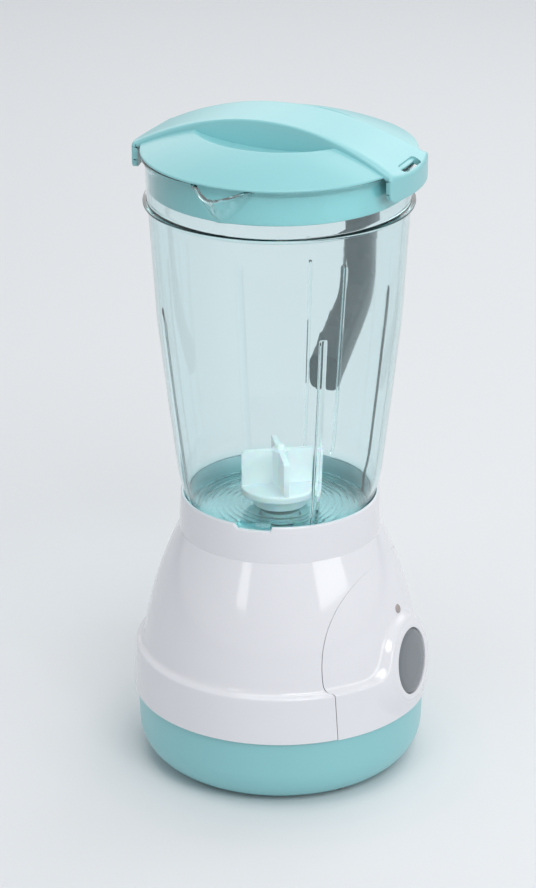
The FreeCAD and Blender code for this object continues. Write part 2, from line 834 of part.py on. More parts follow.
def wires():
    """Leads from the board's back to the motor, the speaker and the battery contacts."""
    back = board_depth + board_thickness + loose_gap
    motor_low = plate_z - motor_length - motor_tag - loose_gap
    speaker_top = cover_floor_z + rest_gap + speaker_height + loose_gap
    roof = box_top_z + box_wall + loose_gap
    contact_x = box_half_length - contact_inset
    contact_y = box_centre_y - contact_inset - 1
    front_y = speaker_centre_y + magnet_radius
    leads = []
    for side in (-1, 1):
        pad = at_depth(back, side * motor_pad[0], motor_pad[1])
        tag = vec(side * tag_side, motor_y, motor_low)
        leads.append(wire([pad, pad - face_out * lead_sag,
                           vec(side * 2 * tag_side, 0, motor_low - lead_sag),
                           tag - vec(0, contact_inset, lead_sag),
                           tag - vec(0, 0, lead_sag / 2), tag]))
        pad = at_depth(back, side * cell_pad[0], cell_pad[1])
        leads.append(wire([pad, pad - face_out * lead_straight,
                           vec(side * 5 * tag_side, front_y, roof + 2 * lead_straight),
                           vec(side * contact_x, contact_y - contact_inset, roof + lead_sag),
                           vec(side * contact_x, contact_y, roof + lead_straight),
                           vec(side * contact_x, contact_y, roof)]))
        pad = at_depth(back, side * speaker_pad[0], speaker_pad[1])
        end = vec(side * tag_side, speaker_centre_y, speaker_top)
        leads.append(wire([pad, pad - face_out * lead_straight, end + vec(side, 2, 3 * lead_straight),
                           end + vec(0, 0, lead_straight), end]))
    return Part.makeCompound(leads)


# Drive

def gear_blank(teeth, tooth_turn):
    """Spur gear outline with involute flanks, as a flat face on the XY plane."""
    pitch = gear_module * teeth / 2
    base = pitch * math.cos(math.radians(20))
    tip = pitch + 0.8 * gear_module
    root = pitch - gear_module

    def involute(radius):
        slope = math.acos(min(1.0, base / radius))
        return math.tan(slope) - slope

    half_tooth = math.pi / (2 * teeth) - gear_backlash / (4 * pitch)
    start = max(base, root)
    radii = [start + (tip - start) * share for share in (0, 0.34, 0.67, 1)]
    half_angles = [half_tooth + involute(pitch) - involute(radius) for radius in radii]
    flank = list(zip(radii, half_angles))
    if root < base:
        flank.insert(0, (root, half_angles[0]))
    points = []
    for tooth in range(teeth):
        centre = 2 * math.pi * tooth / teeth + math.radians(tooth_turn)
        side = [(radius, centre - half) for radius, half in flank]
        side += [(radius, centre + half) for radius, half in reversed(flank)]
        points += [vec(radius * math.cos(angle), radius * math.sin(angle), 0) for radius, angle in side]
    return Part.Face(Part.makePolygon(points + points[:1]))


def drive_gear():
    wheel = gear_blank(gear_tooth_count, 0).extrude(vec(0, 0, gear_width))
    wheel.translate(vec(0, 0, gear_z))
    hub = pipe(sleeve_radius, 0, gear_z - plate_play + coupling_play, bush_z - loose_gap)
    rim = gear_radius - 2.5 * gear_module
    dish = pipe(rim, sleeve_radius + 1.5, gear_top_z - 1.2, gear_top_z + 1)
    bore = pipe(shaft_radius, 0, plate_z, collar_z)
    return joined([wheel.cut(dish), hub]).cut(bore)


def drive_shaft():
    return pipe(shaft_radius, 0, plate_z - plate_pocket + 1, drive_lug_z + lug_rise - 1)


def drive_bushing():
    tube = pipe(bush_radius, 0, web_z, web_top_z)
    flange = pipe(bush_flange_radius, 0, bush_z, web_z)
    return joined([tube, flange]).cut(pipe(shaft_radius + running_gap, 0, bush_z, web_top_z))


def coupling_lugs(z0, z1, turn):
    span = lug_span / 2
    step = 360 / lug_count
    return [sector(lug_inner_radius, coupling_radius - 0.3, z0, z1, turn + step * i, span)
            for i in range(lug_count)]


def drive_coupling():
    disc = pipe(coupling_radius, 0, drive_disc_z, drive_lug_z)
    hub = pipe(lug_inner_radius - 0.5, 0, drive_disc_z, drive_lug_z + lug_rise - 0.6)
    lugs = coupling_lugs(drive_disc_z, drive_lug_z + lug_rise, 0)
    return joined([disc, hub] + lugs).cut(drive_shaft())


def driven_coupling():
    low = drive_lug_z + coupling_play
    disc = pipe(coupling_radius, 0, driven_disc_z, driven_disc_z + coupling_disc)
    lugs = coupling_lugs(low, driven_disc_z + coupling_disc, 180 / lug_count)
    return joined([disc] + lugs).cut(impeller_shaft())


def gearbox_plate():
    wide = post_spots[1][0] + plate_margin
    front = post_spots[2][1] - plate_margin
    back = motor_y + motor_radius + plate_margin - 2
    arm = post_spots[1][1]
    half = motor_radius + plate_margin - 1
    right = [(plate_margin + 1, front), (wide, arm - plate_margin), (wide, arm + plate_margin),
             (half, back)]
    outline = right + [(-x, y) for x, y in reversed(right)]
    points = [vec(x, y, plate_z) for x, y in outline]
    plate = Part.Face(Part.makePolygon(points + points[:1])).extrude(vec(0, 0, plate_thickness))
    pocket = pipe(shaft_radius + 2.5, 0, plate_z - plate_pocket, plate_z)
    cup = pipe(motor_radius + rest_gap + motor_cup_wall, motor_radius + rest_gap,
               plate_z - motor_cup_depth, plate_z, 0, motor_y)
    bore = pipe(shaft_radius + running_gap, 0, plate_z - plate_pocket + 0.8, plate_top_z + 1)
    nose = pipe(motor_nose_radius + rest_gap, 0, plate_z - 1, plate_top_z + 1, 0, motor_y)
    pilots = [pipe(post_pilot_radius + rest_gap, 0, plate_z - 1, plate_top_z + 1, *spot)
              for spot in post_spots]
    return joined([plate, pocket, cup]).cut([bore, nose] + pilots)


def motor_can():
    low = plate_z - motor_length
    can = pipe(motor_radius, 0, low, plate_z, 0, motor_y)
    flats = block(-motor_flat, motor_flat, motor_y - motor_radius, motor_y + motor_radius, low, plate_z)
    nose = pipe(motor_nose_radius, 0, plate_z, plate_z + motor_nose, 0, motor_y)
    terminals = [block(side * tag_side - 0.4, side * tag_side + 0.4, motor_y - 1.5, motor_y + 1.5,
                       low - motor_tag, low) for side in (-1, 1)]
    bore = pipe(motor_shaft_radius + running_gap, 0, low + 5, plate_z + 5, 0, motor_y)
    return joined([can.common(flats), nose] + terminals).cut(bore)


def motor_pinion():
    wheel = gear_blank(pinion_tooth_count, 180 / pinion_tooth_count).extrude(vec(0, 0, gear_width + 1))
    wheel.translate(vec(0, motor_y, gear_z - 0.5))
    shaft = pipe(motor_shaft_radius, 0, plate_z - motor_length + 5.3, gear_top_z + 1.2, 0, motor_y)
    return joined([wheel, shaft])


# Jug

def jug_outside():
    """Outer edges of the jug's side, from the foot up to the lip."""
    foot = (foot_radius, foot_z)
    foot_top = (foot_radius, collar_z)
    knee = (knee_radius, knee_z)
    ledge = (ledge_radius, ledge_z)
    bead = ledge_radius + bead_reach
    neck_foot = (ledge_radius + 0.2, ledge_z + bead_thickness + 0.3)
    neck_top = (neck_top_radius, rim_z - lip_thickness - 0.6)
    edges = lines(foot, foot_top)
    edges += bowed(foot_top, knee, foot_bulge)
    edges += bowed(knee, ledge, wall_bulge)
    edges += lines(ledge, (bead, ledge_z + 0.3), (bead, ledge_z + bead_thickness), neck_foot, neck_top)
    edges += lines(neck_top, (lip_radius, rim_z - lip_thickness), (lip_radius, rim_z))
    return edges


def jug_block():
    edges = jug_outside()
    edges += lines((lip_radius, rim_z), (0, rim_z), (0, foot_z), (foot_radius, foot_z))
    return turned(edges)


def jug_room(inset=0.0):
    """Room inside the jug, drawn in from its wall by inset."""
    step = jug_wall + inset
    gutter = foot_radius - step
    ring_out = gutter - gutter_width
    ring_in = ring_out - ring_width
    gutter_z = floor_z - gutter_drop
    bore = bush_radius + 0.5
    foot_top = (gutter, collar_z)
    edges = lines((0, rim_z), (neck_inner_radius - inset, rim_z),
                  (ledge_radius - step, ledge_z))
    edges += bowed((ledge_radius - step, ledge_z), (knee_radius - step, knee_z), -wall_bulge)
    edges += bowed((knee_radius - step, knee_z), foot_top, -foot_bulge)
    edges += lines(foot_top, (gutter, gutter_z), (ring_out, gutter_z),
                   (ring_out, floor_z + ring_height), (ring_in, floor_z + ring_height),
                   (ring_in, floor_z), (boss_radius, floor_z),
                   (boss_radius - 0.6, floor_z + boss_height),
                   (bore, floor_z + boss_height), (0, floor_z + boss_height), (0, rim_z))
    return turned(edges)


def wall_strips(inner, outer, half_width, z0, z1, angles):
    """Narrow upright strips of the ring between two solids, with pointed tops."""
    reach = lip_radius
    points = [vec(reach, -half_width, z0), vec(reach, half_width, z0),
              vec(reach, half_width, z1 - 3 * half_width), vec(reach, 0, z1),
              vec(reach, -half_width, z1 - 3 * half_width)]
    strip = Part.Face(Part.makePolygon(points + points[:1])).extrude(vec(-reach / 2, 0, 0))
    ring = outer.cut(inner)
    return [copy.common(ring) for copy in around(strip, angles)]


def spout_section(z, reach, half, root):
    """Outline of the beak at one height, closed behind the neck's wall."""
    flank = ((0, 1), (0.42, 0.72), (0.84, 0.31), (1, 0))
    side = [vec(-root - out * reach, across * half, z) for out, across in flank]
    other = [vec(p.x, -p.y, z) for p in reversed(side[:-1])]
    curve = Part.BSplineCurve()
    curve.interpolate(side + other)
    back = Part.makePolygon([other[-1], vec(-root / 2, -half, z), vec(-root / 2, half, z), side[0]])
    return Part.Wire([curve.toShape()] + back.Edges)


def spout_form(inset):
    """Pouring beak on the -X side, as a closed loft from the rim down to a point on the neck."""
    root = neck_top_radius - 0.6 - inset
    return Part.makeLoft([spout_section(rim_z - drop * spout_drop, reach * spout_reach,
                                        half * spout_half_width - inset, root - drop)
                          for drop, reach, half in spout_steps], True, False)


def jug():
    outer = jug_block()
    room = jug_room()
    guide_block = turned(jug_outside_grown(guide_rib_height))
    beak = spout_form(0)
    mouth = spout_form(jug_wall)
    lugs = [sector(foot_radius - 1, foot_radius + lug_reach, collar_z - lug_height, collar_z + 0.2,
                   angle, lug_half_angle) for angle in lug_angles]
    guide_half = (handle_width + guide_rib_width) / 2 + rest_gap
    guides = [block(0, lip_radius, side * guide_half - guide_rib_width / 2,
                    side * guide_half + guide_rib_width / 2, collar_z + 2, rim_z - inner_rib_drop)
              .common(guide_block.cut(outer)) for side in (-1, 1)]
    body = joined([outer, beak] + guides + lugs)
    under = [(0, foot_z - 1), (foot_radius - foot_ring_width, foot_z - 1),
             (foot_radius - foot_ring_width, floor_under_z - gutter_drop),
             (foot_radius - foot_ring_width - gutter_width, floor_under_z - gutter_drop),
             (foot_radius - foot_ring_width - gutter_width, floor_under_z), (0, floor_under_z),
             (0, foot_z - 1)]
    hollow = turned(lines(*under))
    bore = pipe(bush_radius + 0.5, 0, foot_z, rim_z)
    body = body.cut([room, mouth, hollow, bore])
    ribs = wall_strips(jug_room(inner_rib_height), room, inner_rib_width / 2,
                       floor_z - gutter_drop, rim_z - inner_rib_drop, inner_rib_angles)
    return joined([body] + ribs)


def jug_outside_grown(extra):
    """The jug's side moved out by extra, between the collar and the ledge, closed to the axis."""
    foot_top = (foot_radius + extra, collar_z)
    knee = (knee_radius + extra, knee_z)
    ledge = (ledge_radius + extra, ledge_z)
    edges = bowed(foot_top, knee, foot_bulge)
    edges += bowed(knee, ledge, wall_bulge)
    return edges + lines(ledge, (0, ledge_z), (0, collar_z), foot_top)


def jug_bushing():
    radius = bush_radius + 0.5
    top = floor_z + boss_height
    tube = pipe(radius, 0, floor_under_z, top)
    flange = pipe(bush_flange_radius, 0, top, top + bush_flange)
    return joined([tube, flange]).cut(pipe(shaft_radius + running_gap, 0, foot_z, rim_z))


def impeller_shaft():
    return pipe(shaft_radius, 0, drive_lug_z + lug_rise, vane_top_z - shaft_radius)


def shaft_washer():
    low = impeller_z - coupling_play + running_gap
    return pipe(washer_radius, shaft_radius + rest_gap, low, low + washer_thickness)


def impeller():
    disc_top = impeller_z + impeller_disc
    disc = pipe(impeller_radius, 0, impeller_z, disc_top)
    rims = [e for e in disc.Edges if abs(e.Length - 2 * math.pi * impeller_radius) < 0.01]
    disc = disc.makeFillet(0.8, rims)
    skirt = pipe(skirt_outer_radius, skirt_outer_radius - skirt_wall,
                 floor_z + coupling_play + loose_gap, impeller_z)
    hub = pipe(hub_radius, 0, impeller_z, vane_top_z)
    pin = pipe(pin_radius, 0, impeller_z, vane_top_z + pin_height)
    pin_top = [e for e in pin.Edges if abs(e.CenterOfMass.z - vane_top_z - pin_height) < 0.01]
    pin = pin.makeFillet(pin_radius * 0.6, pin_top)
    half = impeller_radius - 0.3
    vane = block(-half, half, -vane_thickness / 2, vane_thickness / 2, disc_top - 0.5, vane_top_z)
    corners = [e for e in vane.Edges if abs(e.CenterOfMass.z - vane_top_z) < 0.01
               and abs(e.Length - vane_thickness) < 0.01]
    vane = vane.makeFillet(vane_corner, corners)
    body = joined([disc, skirt, hub, pin] + around(vane, (vane_turn, vane_turn + 90)))
    return body.cut(impeller_shaft())


# Handle

def handle():
    top = rim_z - handle_top_drop
    under = top - handle_thickness
    inner = handle_reach - handle_thickness
    foot = collar_z + handle_foot_rise
    root = neck_top_radius - handle_root_depth
    low_root = root - 2
    corner_z = foot + (handle_reach - root) * handle_slope
    rise = handle_thickness * math.hypot(1, handle_slope)
    inner_z = foot + (inner - root) * handle_slope + rise
    inner_root_z = foot + (low_root - root) * handle_slope + rise
    outline = ((root, top), (handle_reach, top), (handle_reach, corner_z), (root, foot),
               (low_root, inner_root_z), (inner, inner_z), (inner, under), (root, under))
    points = [vec(x, -handle_width / 2, z) for x, z in outline]
    bar = Part.Face(Part.makePolygon(points + points[:1])).extrude(vec(0, handle_width, 0))

    def corner(x, z):
        return [e for e in bar.Edges
                if abs(e.CenterOfMass.x - x) < 0.01 and abs(e.CenterOfMass.z - z) < 0.01]

    bar = bar.makeFillet(handle_top_round, corner(handle_reach, top))
    bar = bar.makeFillet(handle_foot_round, corner(handle_reach, corner_z))
    bar = bar.makeFillet(handle_inner_round, corner(inner, under) + corner(inner, inner_z))
    sides = [e for e in bar.Edges if abs(abs(e.CenterOfMass.y) - handle_width / 2) < 0.01
             and e.BoundBox.XMax > root + 0.5]
    return bar.makeFillet(handle_edge_round, sides).cut(jug_block())


# Lid

def cap_edges(edge_radius, edge_z, top_z):
    """Arc of a shallow dome from its edge to the axis."""
    rise = top_z - edge_z
    ball = (edge_radius ** 2 + rise ** 2) / (2 * rise)
    half = edge_radius / 2
    middle_z = top_z - ball + math.sqrt(ball ** 2 - half ** 2)
    return arc((edge_radius, edge_z), (half, middle_z), (0, top_z))


def dome(inset):
    """Filled dome above the rim plane."""
    edge_radius = lip_radius + 0.2 - inset
    edge_z = rim_z + lid_edge - inset
    top_z = rim_z + lid_edge + lid_dome - inset
    foot = min(edge_z, rim_z)
    edges = cap_edges(edge_radius, edge_z, top_z)
    edges += lines((0, top_z), (0, foot - 1), (edge_radius, foot - 1), (edge_radius, edge_z))
    return turned(edges)


def strap_plan(inset, z0, z1):
    """The strap's outline from above: it widens to its ends, which follow the rim."""
    end = lip_radius + tab_reach - inset
    middle = strap_middle_half_width - inset
    wide = strap_end_half_width - inset
    end_y = math.sqrt(end ** 2 - wide ** 2)
    edges = []
    for side in (-1, 1):
        edges.append(Part.Arc(vec(side * wide, -end_y, z0), vec(side * middle, 0, z0),
                              vec(side * wide, end_y, z0)).toShape())
        edges.append(Part.Arc(vec(-wide, side * end_y, z0), vec(0, side * end, z0),
                              vec(wide, side * end_y, z0)).toShape())
    outline = Part.Wire(Part.sortEdges(edges)[0])
    return Part.Face(outline).extrude(vec(0, 0, z1 - z0))


def strap_arch(inset):
    """Solid under the strap's arched top, across the lid; its ends turn down as tabs."""
    end = lip_radius + tab_reach - inset
    top = rim_z + lid_edge + lid_dome + strap_rise - inset
    over_rim = rim_z + strap_end_height + 0.6 - inset
    bend_y = end - tab_round
    tab_foot = rim_z - tab_depth
    bend = (end - tab_round * 0.29, over_rim - tab_round * 0.29)
    width = 2 * strap_end_half_width
    edges = arc((-bend_y, over_rim), (0, top), (bend_y, over_rim))
    edges += arc((bend_y, over_rim), bend, (end, over_rim - tab_round))
    edges += lines((end, over_rim - tab_round), (end, tab_foot), (-end, tab_foot),
                   (-end, over_rim - tab_round))
    edges += arc((-end, over_rim - tab_round), (-bend[0], bend[1]), (-bend_y, over_rim))
    face = Part.Face(Part.Wire(Part.sortEdges(edges)[0]))
    arch = face.extrude(vec(0, 2 * width, 0))
    arch.translate(vec(0, -width, 0))
    arch.rotate(vec(0, 0, 0), vec(0, 0, 1), 90)
    return arch


def scoop(side, grown):
    """Bowl for a fingertip beside the strap."""
    centre_z = rim_z + lid_edge + lid_dome - scoop_centre_drop
    radius = scoop_radius + grown
    depth = scoop_depth + grown
    low = (0, centre_z - depth)
    edge = (radius, centre_z)
    middle = (radius * math.sqrt(0.5), centre_z - depth * math.sqrt(0.5))
    top = centre_z + depth
    bowl = turned(arc(low, middle, edge) + lines(edge, (radius, top), (0, top), low))
    bowl.translate(vec(-side * scoop_offset, 0, 0))
    half = block(min(0, side) * lip_radius, max(0, side) * lip_radius, -lip_radius, lip_radius,
                 0, 2 * rim_z)
    return bowl.common(half)


def lid_form(inset):
    """Filled lid: the dome less its scoops, and the strap; inset gives its inside."""
    strap_plug = strap_plan(inset, rim_z - tab_depth - 1, 2 * rim_z)
    bowls = [scoop(side, inset).cut(strap_plug) for side in (-1, 1)]
    return dome(inset).cut(bowls), strap_plug.common(strap_arch(inset))


def lid_top():
    outer_dome, outer_strap = lid_form(0)
    inner_dome, inner_strap = lid_form(lid_wall)
    far = 2 * lip_radius
    above = block(-far, far, -far, far, rim_z, 2 * rim_z)
    solid = joined([outer_dome.common(above), outer_strap])
    tab_room = pipe(lip_radius + tab_reach - tab_wall, 0, rim_z - tab_depth - 1, rim_z)
    slot_y = -(lip_radius + tab_reach - slot_inset)
    half = (slot_length - slot_width) / 2
    slot = joined([block(-half, half, slot_y - slot_width / 2, slot_y + slot_width / 2,
                         rim_z + 0.5, 2 * rim_z)]
                  + [pipe(slot_width / 2, 0, rim_z + 0.5, 2 * rim_z, x, slot_y) for x in (-half, half)])
    return solid.cut([inner_dome.common(above), inner_strap.common(above), tab_room, slot])


def lid_plug(top):
    outer = neck_inner_radius - plug_gap - 0.6
    ring = pipe(outer, outer - plug_wall, rim_z - plug_depth, rim_z + lid_dome)
    return ring.cut([top, strap_and_dome_above()])


def strap_and_dome_above():
    """Everything from the lid's inner surface up."""
    far = 2 * lip_radius
    return block(-far, far, -far, far, rim_z, 2 * rim_z).cut(dome(lid_wall))


shell = whole_shell()
lid = lid_top()
nodes = {
    "base_housing": base_housing(shell),
    "front_panel": front_panel(shell),
    "base_cover": base_cover(),
    "battery_door": battery_door(),
    "door_screw": door_screw(),
    "case_screws": case_screws(),
    "contact_plates": contact_plates(),
    "contact_springs": contact_springs(),
    "speaker_frame": speaker_frame(),
    "speaker_cone": speaker_cone(),
    "push_button": push_button(),
    "switch_plunger": switch_plunger(),
    "button_spring": button_spring(),
    "tact_switch": tact_switch(),
    "circuit_board": circuit_board(),
    "sound_chip": sound_chip(),
    "led_lens": led_lens(),
    "led_lamp": led_lamp(),
    "wires": wires(),
    "gearbox_plate": gearbox_plate(),
    "gearbox_screws": gearbox_screws(),
    "motor_can": motor_can(),
    "motor_pinion": motor_pinion(),
    "drive_gear": drive_gear(),
    "drive_shaft": drive_shaft(),
    "drive_bushing": drive_bushing(),
    "drive_coupling": drive_coupling(),
    "driven_coupling": driven_coupling(),
    "jug": jug(),
    "jug_bushing": jug_bushing(),
    "impeller_shaft": impeller_shaft(),
    "impeller": impeller(),
    "shaft_washer": shaft_washer(),
    "handle": handle(),
    "lid_top": lid,
    "lid_plug": lid_plug(lid),
}
for i, angle in enumerate(pad_angles):
    nodes[f"foot_pad_{i + 1}"] = foot_pad(angle)
for i in range(cell_count):
    nodes[f"battery_cell_{i + 1}"] = battery_cell(i)

for name, shape in nodes.items():
    shape.exportStep(f"parts/{name}.step")
    print(name, len(shape.Solids), round(shape.Volume, 1), shape.isValid())
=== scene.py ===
import json
import math
import bmesh
import bpy
import numpy as np
from mathutils import Matrix, Vector

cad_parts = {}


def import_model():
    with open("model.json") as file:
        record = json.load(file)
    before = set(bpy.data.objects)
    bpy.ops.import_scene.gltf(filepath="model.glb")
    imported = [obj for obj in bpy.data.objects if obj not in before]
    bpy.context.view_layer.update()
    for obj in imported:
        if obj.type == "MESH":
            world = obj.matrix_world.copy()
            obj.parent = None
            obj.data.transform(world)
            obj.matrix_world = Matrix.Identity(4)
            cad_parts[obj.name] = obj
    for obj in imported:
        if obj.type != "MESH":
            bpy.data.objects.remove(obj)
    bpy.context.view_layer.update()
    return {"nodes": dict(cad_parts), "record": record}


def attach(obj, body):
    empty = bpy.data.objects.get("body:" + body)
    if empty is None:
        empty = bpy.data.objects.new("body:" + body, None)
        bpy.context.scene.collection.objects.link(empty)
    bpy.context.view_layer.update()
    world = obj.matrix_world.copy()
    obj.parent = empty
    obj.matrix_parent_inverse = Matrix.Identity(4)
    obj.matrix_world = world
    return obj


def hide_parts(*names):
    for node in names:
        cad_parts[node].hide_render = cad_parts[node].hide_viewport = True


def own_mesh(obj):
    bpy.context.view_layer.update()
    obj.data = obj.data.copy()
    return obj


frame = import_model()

# Shapes are in millimetres, and piece() turns them into metres. Materials, lamps and camera are in metres.

# ---------------------------------------------------------------- materials


def spread(nodes, links, source, low, high):
    """Maps a noise onto a range."""
    mapper = nodes.new("ShaderNodeMapRange")
    mapper.interpolation_type = "SMOOTHSTEP"
    mapper.inputs["From Min"].default_value = 0.2
    mapper.inputs["From Max"].default_value = 0.8
    mapper.inputs["To Min"].default_value = low
    mapper.inputs["To Max"].default_value = high
    links.new(source, mapper.inputs["Value"])
    return mapper.outputs["Result"]


def finish(name, colour, rough, rough_play=0.03, shade=0.04, grain=0.03, grain_scale=900, lump=0.0,
           streak=None, **sockets):
    """Moulded or metal surface: slightly uneven colour and gloss, a fine grain and, by lump, flow marks."""
    mat = bpy.data.materials.new(name)
    mat.use_nodes = True
    nodes, links = mat.node_tree.nodes, mat.node_tree.links
    shader = nodes["Principled BSDF"]
    place = nodes.new("ShaderNodeTexCoord").outputs["Object"]
    if streak:
        mapping = nodes.new("ShaderNodeMapping")
        mapping.inputs["Scale"].default_value = streak
        links.new(place, mapping.inputs["Vector"])
        place = mapping.outputs["Vector"]

    def field(scale, detail=2.0):
        texture = nodes.new("ShaderNodeTexNoise")
        texture.inputs["Scale"].default_value = scale
        texture.inputs["Detail"].default_value = detail
        links.new(place, texture.inputs["Vector"])
        return texture.outputs["Fac"]

    tones = nodes.new("ShaderNodeValToRGB")
    tones.color_ramp.interpolation = "EASE"
    for stop, where, change in zip(tones.color_ramp.elements, (0.2, 0.8), (1 - shade, 1 + shade)):
        stop.position = where
        stop.color = [min(1, c * change) for c in colour] + [1]
    links.new(field(28), tones.inputs["Fac"])
    links.new(tones.outputs["Color"], shader.inputs["Base Color"])
    gloss = spread(nodes, links, field(60), rough - rough_play, rough + rough_play)
    links.new(gloss, shader.inputs["Roughness"])
    bump = nodes.new("ShaderNodeBump")
    bump.inputs["Strength"].default_value = grain
    bump.inputs["Distance"].default_value = 0.0004
    links.new(field(grain_scale, 3.0), bump.inputs["Height"])
    if lump:
        wide = nodes.new("ShaderNodeBump")
        wide.inputs["Strength"].default_value = lump
        wide.inputs["Distance"].default_value = 0.002
        links.new(field(18, 1.0), wide.inputs["Height"])
        links.new(wide.outputs["Normal"], bump.inputs["Normal"])
    links.new(bump.outputs["Normal"], shader.inputs["Normal"])
    for socket, value in sockets.items():
        shader.inputs[socket.replace("_", " ")].default_value = value
    return mat


def clear_plastic(name):
    """Tinted clear plastic: its base colour is painted a deeper teal in the floor as painted shade, and its
    shadow is a pale one.
    """
    floor_low, floor_high = 0.103, 0.112   # the jug's floor, over which the painted shade fades
    mat = finish(name, (1, 1, 1), 0.03, rough_play=0.015, shade=0.0, grain=0.004, grain_scale=300,
                 lump=0.012, Transmission_Weight=1.0, IOR=1.42, Coat_Weight=0.3)
    nodes, links = mat.node_tree.nodes, mat.node_tree.links
    split, painted_floor_shade = nodes.new("ShaderNodeSeparateXYZ"), nodes.new("ShaderNodeValToRGB")
    links.new(nodes.new("ShaderNodeTexCoord").outputs["Object"], split.inputs[0])
    rise = nodes.new("ShaderNodeMapRange")
    rise.inputs["From Min"].default_value = floor_low
    rise.inputs["From Max"].default_value = floor_high
    links.new(split.outputs["Z"], rise.inputs["Value"])
    links.new(rise.outputs["Result"], painted_floor_shade.inputs["Fac"])
    # painted shade: the floor's base colour is darkened to teal, standing in for the dim socket under it
    painted_floor_shade.color_ramp.elements[0].color = (0.66, 0.90, 0.91, 1)
    links.new(painted_floor_shade.outputs["Color"], nodes["Principled BSDF"].inputs["Base Color"])
    out = nodes["Material Output"]
    body = nodes.new("ShaderNodeVolumeAbsorption")
    body.inputs["Color"].default_value = (0.30, 0.80, 0.82, 1)
    body.inputs["Density"].default_value = 100
    links.new(body.outputs["Volume"], out.inputs["Volume"])
    path, mix = nodes.new("ShaderNodeLightPath"), nodes.new("ShaderNodeMixShader")
    through = nodes.new("ShaderNodeBsdfTransparent")
    through.inputs["Color"].default_value = (0.95, 0.975, 0.98, 1)
    links.new(path.outputs["Is Shadow Ray"], mix.inputs["Fac"])
    links.new(nodes["Principled BSDF"].outputs["BSDF"], mix.inputs[1])
    links.new(through.outputs["BSDF"], mix.inputs[2])
    links.new(mix.outputs["Shader"], out.inputs["Surface"])
    return mat


WHITE = finish("white_plastic", (0.79, 0.79, 0.82), 0.12, rough_play=0.02, shade=0.010, grain=0.008,
               lump=0.006, Coat_Weight=0.3)
MINT = finish("mint_plastic", (0.275, 0.605, 0.63), 0.33, rough_play=0.01, shade=0.01, grain=0.006,
              Coat_Weight=0.15, Coat_Roughness=0.25)
SLATE = finish("slate_plastic", (0.040, 0.052, 0.060), 0.28, shade=0.06, grain=0.05)
BUTTON = finish("button_plastic", (0.17, 0.19, 0.205), 0.22, shade=0.03, grain=0.02)
FROST = finish("frosted_plastic", (0.86, 0.90, 0.91), 0.34, shade=0.02, grain=0.02,
               Subsurface_Weight=0.5, Subsurface_Scale=0.004)
LENS = finish("lens_plastic", (0.50, 0.44, 0.42), 0.15, shade=0.02, Transmission_Weight=0.3)
CLEAR = clear_plastic("clear_plastic")
RUBBER = finish("pad_rubber", (0.035, 0.038, 0.040), 0.75, shade=0.10, grain=0.25, grain_scale=1400)
STEEL = finish("bright_steel", (0.60, 0.61, 0.62), 0.25, grain=0.05, grain_scale=3, streak=(60, 60, 900),
               Metallic=1.0)
BRASS = finish("turned_brass", (0.70, 0.52, 0.24), 0.28, grain=0.05, grain_scale=3, streak=(30, 30, 700),
               Metallic=1.0)
ACETAL = finish("natural_acetal", (0.74, 0.75, 0.73), 0.45, grain=0.06)
BLACK = finish("black_plastic", (0.020, 0.021, 0.023), 0.40, shade=0.10, grain=0.08)
BOARD = finish("phenolic_board", (0.36, 0.25, 0.10), 0.55, shade=0.10, grain=0.06, streak=(1, 12, 1))
LEAD = finish("lead_jacket", (0.45, 0.03, 0.03), 0.40, shade=0.05, grain=0.04)
JACKET = finish("cell_jacket", (0.07, 0.09, 0.11), 0.25, shade=0.05, grain=0.03, Metallic=0.4)
PAPER = finish("cone_paper", (0.03, 0.03, 0.03), 0.90, shade=0.2, grain=0.4, grain_scale=1500)
BY_SLOT = {
    "white_shell": WHITE, "mint_shell": MINT, "clear_shell": CLEAR, "slate_plastic": SLATE,
    "button_plastic": BUTTON, "frosted_plastic": FROST, "lens": LENS, "lamp": LENS, "steel": STEEL,
    "contact_metal": STEEL, "motor_steel": STEEL, "brass_part": BRASS, "inner_plastic": ACETAL,
    "coupling_plastic": ACETAL, "switch_plastic": BLACK, "board": BOARD, "chip": BLACK, "lead": LEAD,
    "speaker_paper": PAPER, "pad_rubber": RUBBER, "cell_jacket": JACKET,
}

for part in frame["record"]["subparts"]:
    node = frame["nodes"][part["node"]]
    node.data.materials.clear()
    node.data.materials.append(BY_SLOT[part["material_slot"]])
    node.data.set_sharp_from_angle(angle=math.radians(32))

# ---------------------------------------------------------------- mesh helpers


def piece(name, points, faces, body, slot, *nodes):
    """A smooth mesh, in millimetres, that rides on a body and stands for CAD nodes."""
    mesh = bpy.data.meshes.new(name)
    mesh.from_pydata(np.asarray(points, float) * 0.001, [], faces)
    mesh.validate()
    work = bmesh.new()
    work.from_mesh(mesh)
    bmesh.ops.remove_doubles(work, verts=work.verts, dist=1e-6)
    bmesh.ops.dissolve_degenerate(work, edges=work.edges, dist=1e-7)
    bmesh.ops.recalc_face_normals(work, faces=work.faces)
    work.to_mesh(mesh)
    work.free()
    mesh.shade_smooth()
    mesh.set_sharp_from_angle(angle=math.radians(35))
    mesh.materials.append(BY_SLOT[slot])
    obj = bpy.data.objects.new(name, mesh)
    bpy.context.scene.collection.objects.link(obj)
    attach(obj, body)
    if nodes:
        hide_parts(*nodes)
    return obj


def skin(rows, around=False, closed=False, caps=False):
    """Quads between rows of points; around joins each row's ends, closed joins the last row to the first."""
    rows = np.asarray(rows, float)
    count, width = rows.shape[:2]
    points = rows.reshape(-1, 3)
    index = np.arange(count * width).reshape(count, width)
    if around:
        index = np.hstack([index, index[:, :1]])
    if closed:
        index = np.vstack([index, index[:1]])
    quads = np.stack([index[:-1, :-1], index[:-1, 1:], index[1:, 1:], index[1:, :-1]], -1)
    faces = quads.reshape(-1, 4).tolist()
    if caps:
        faces += [index[0, :width].tolist(), index[-1, :width].tolist()]
    return points, faces


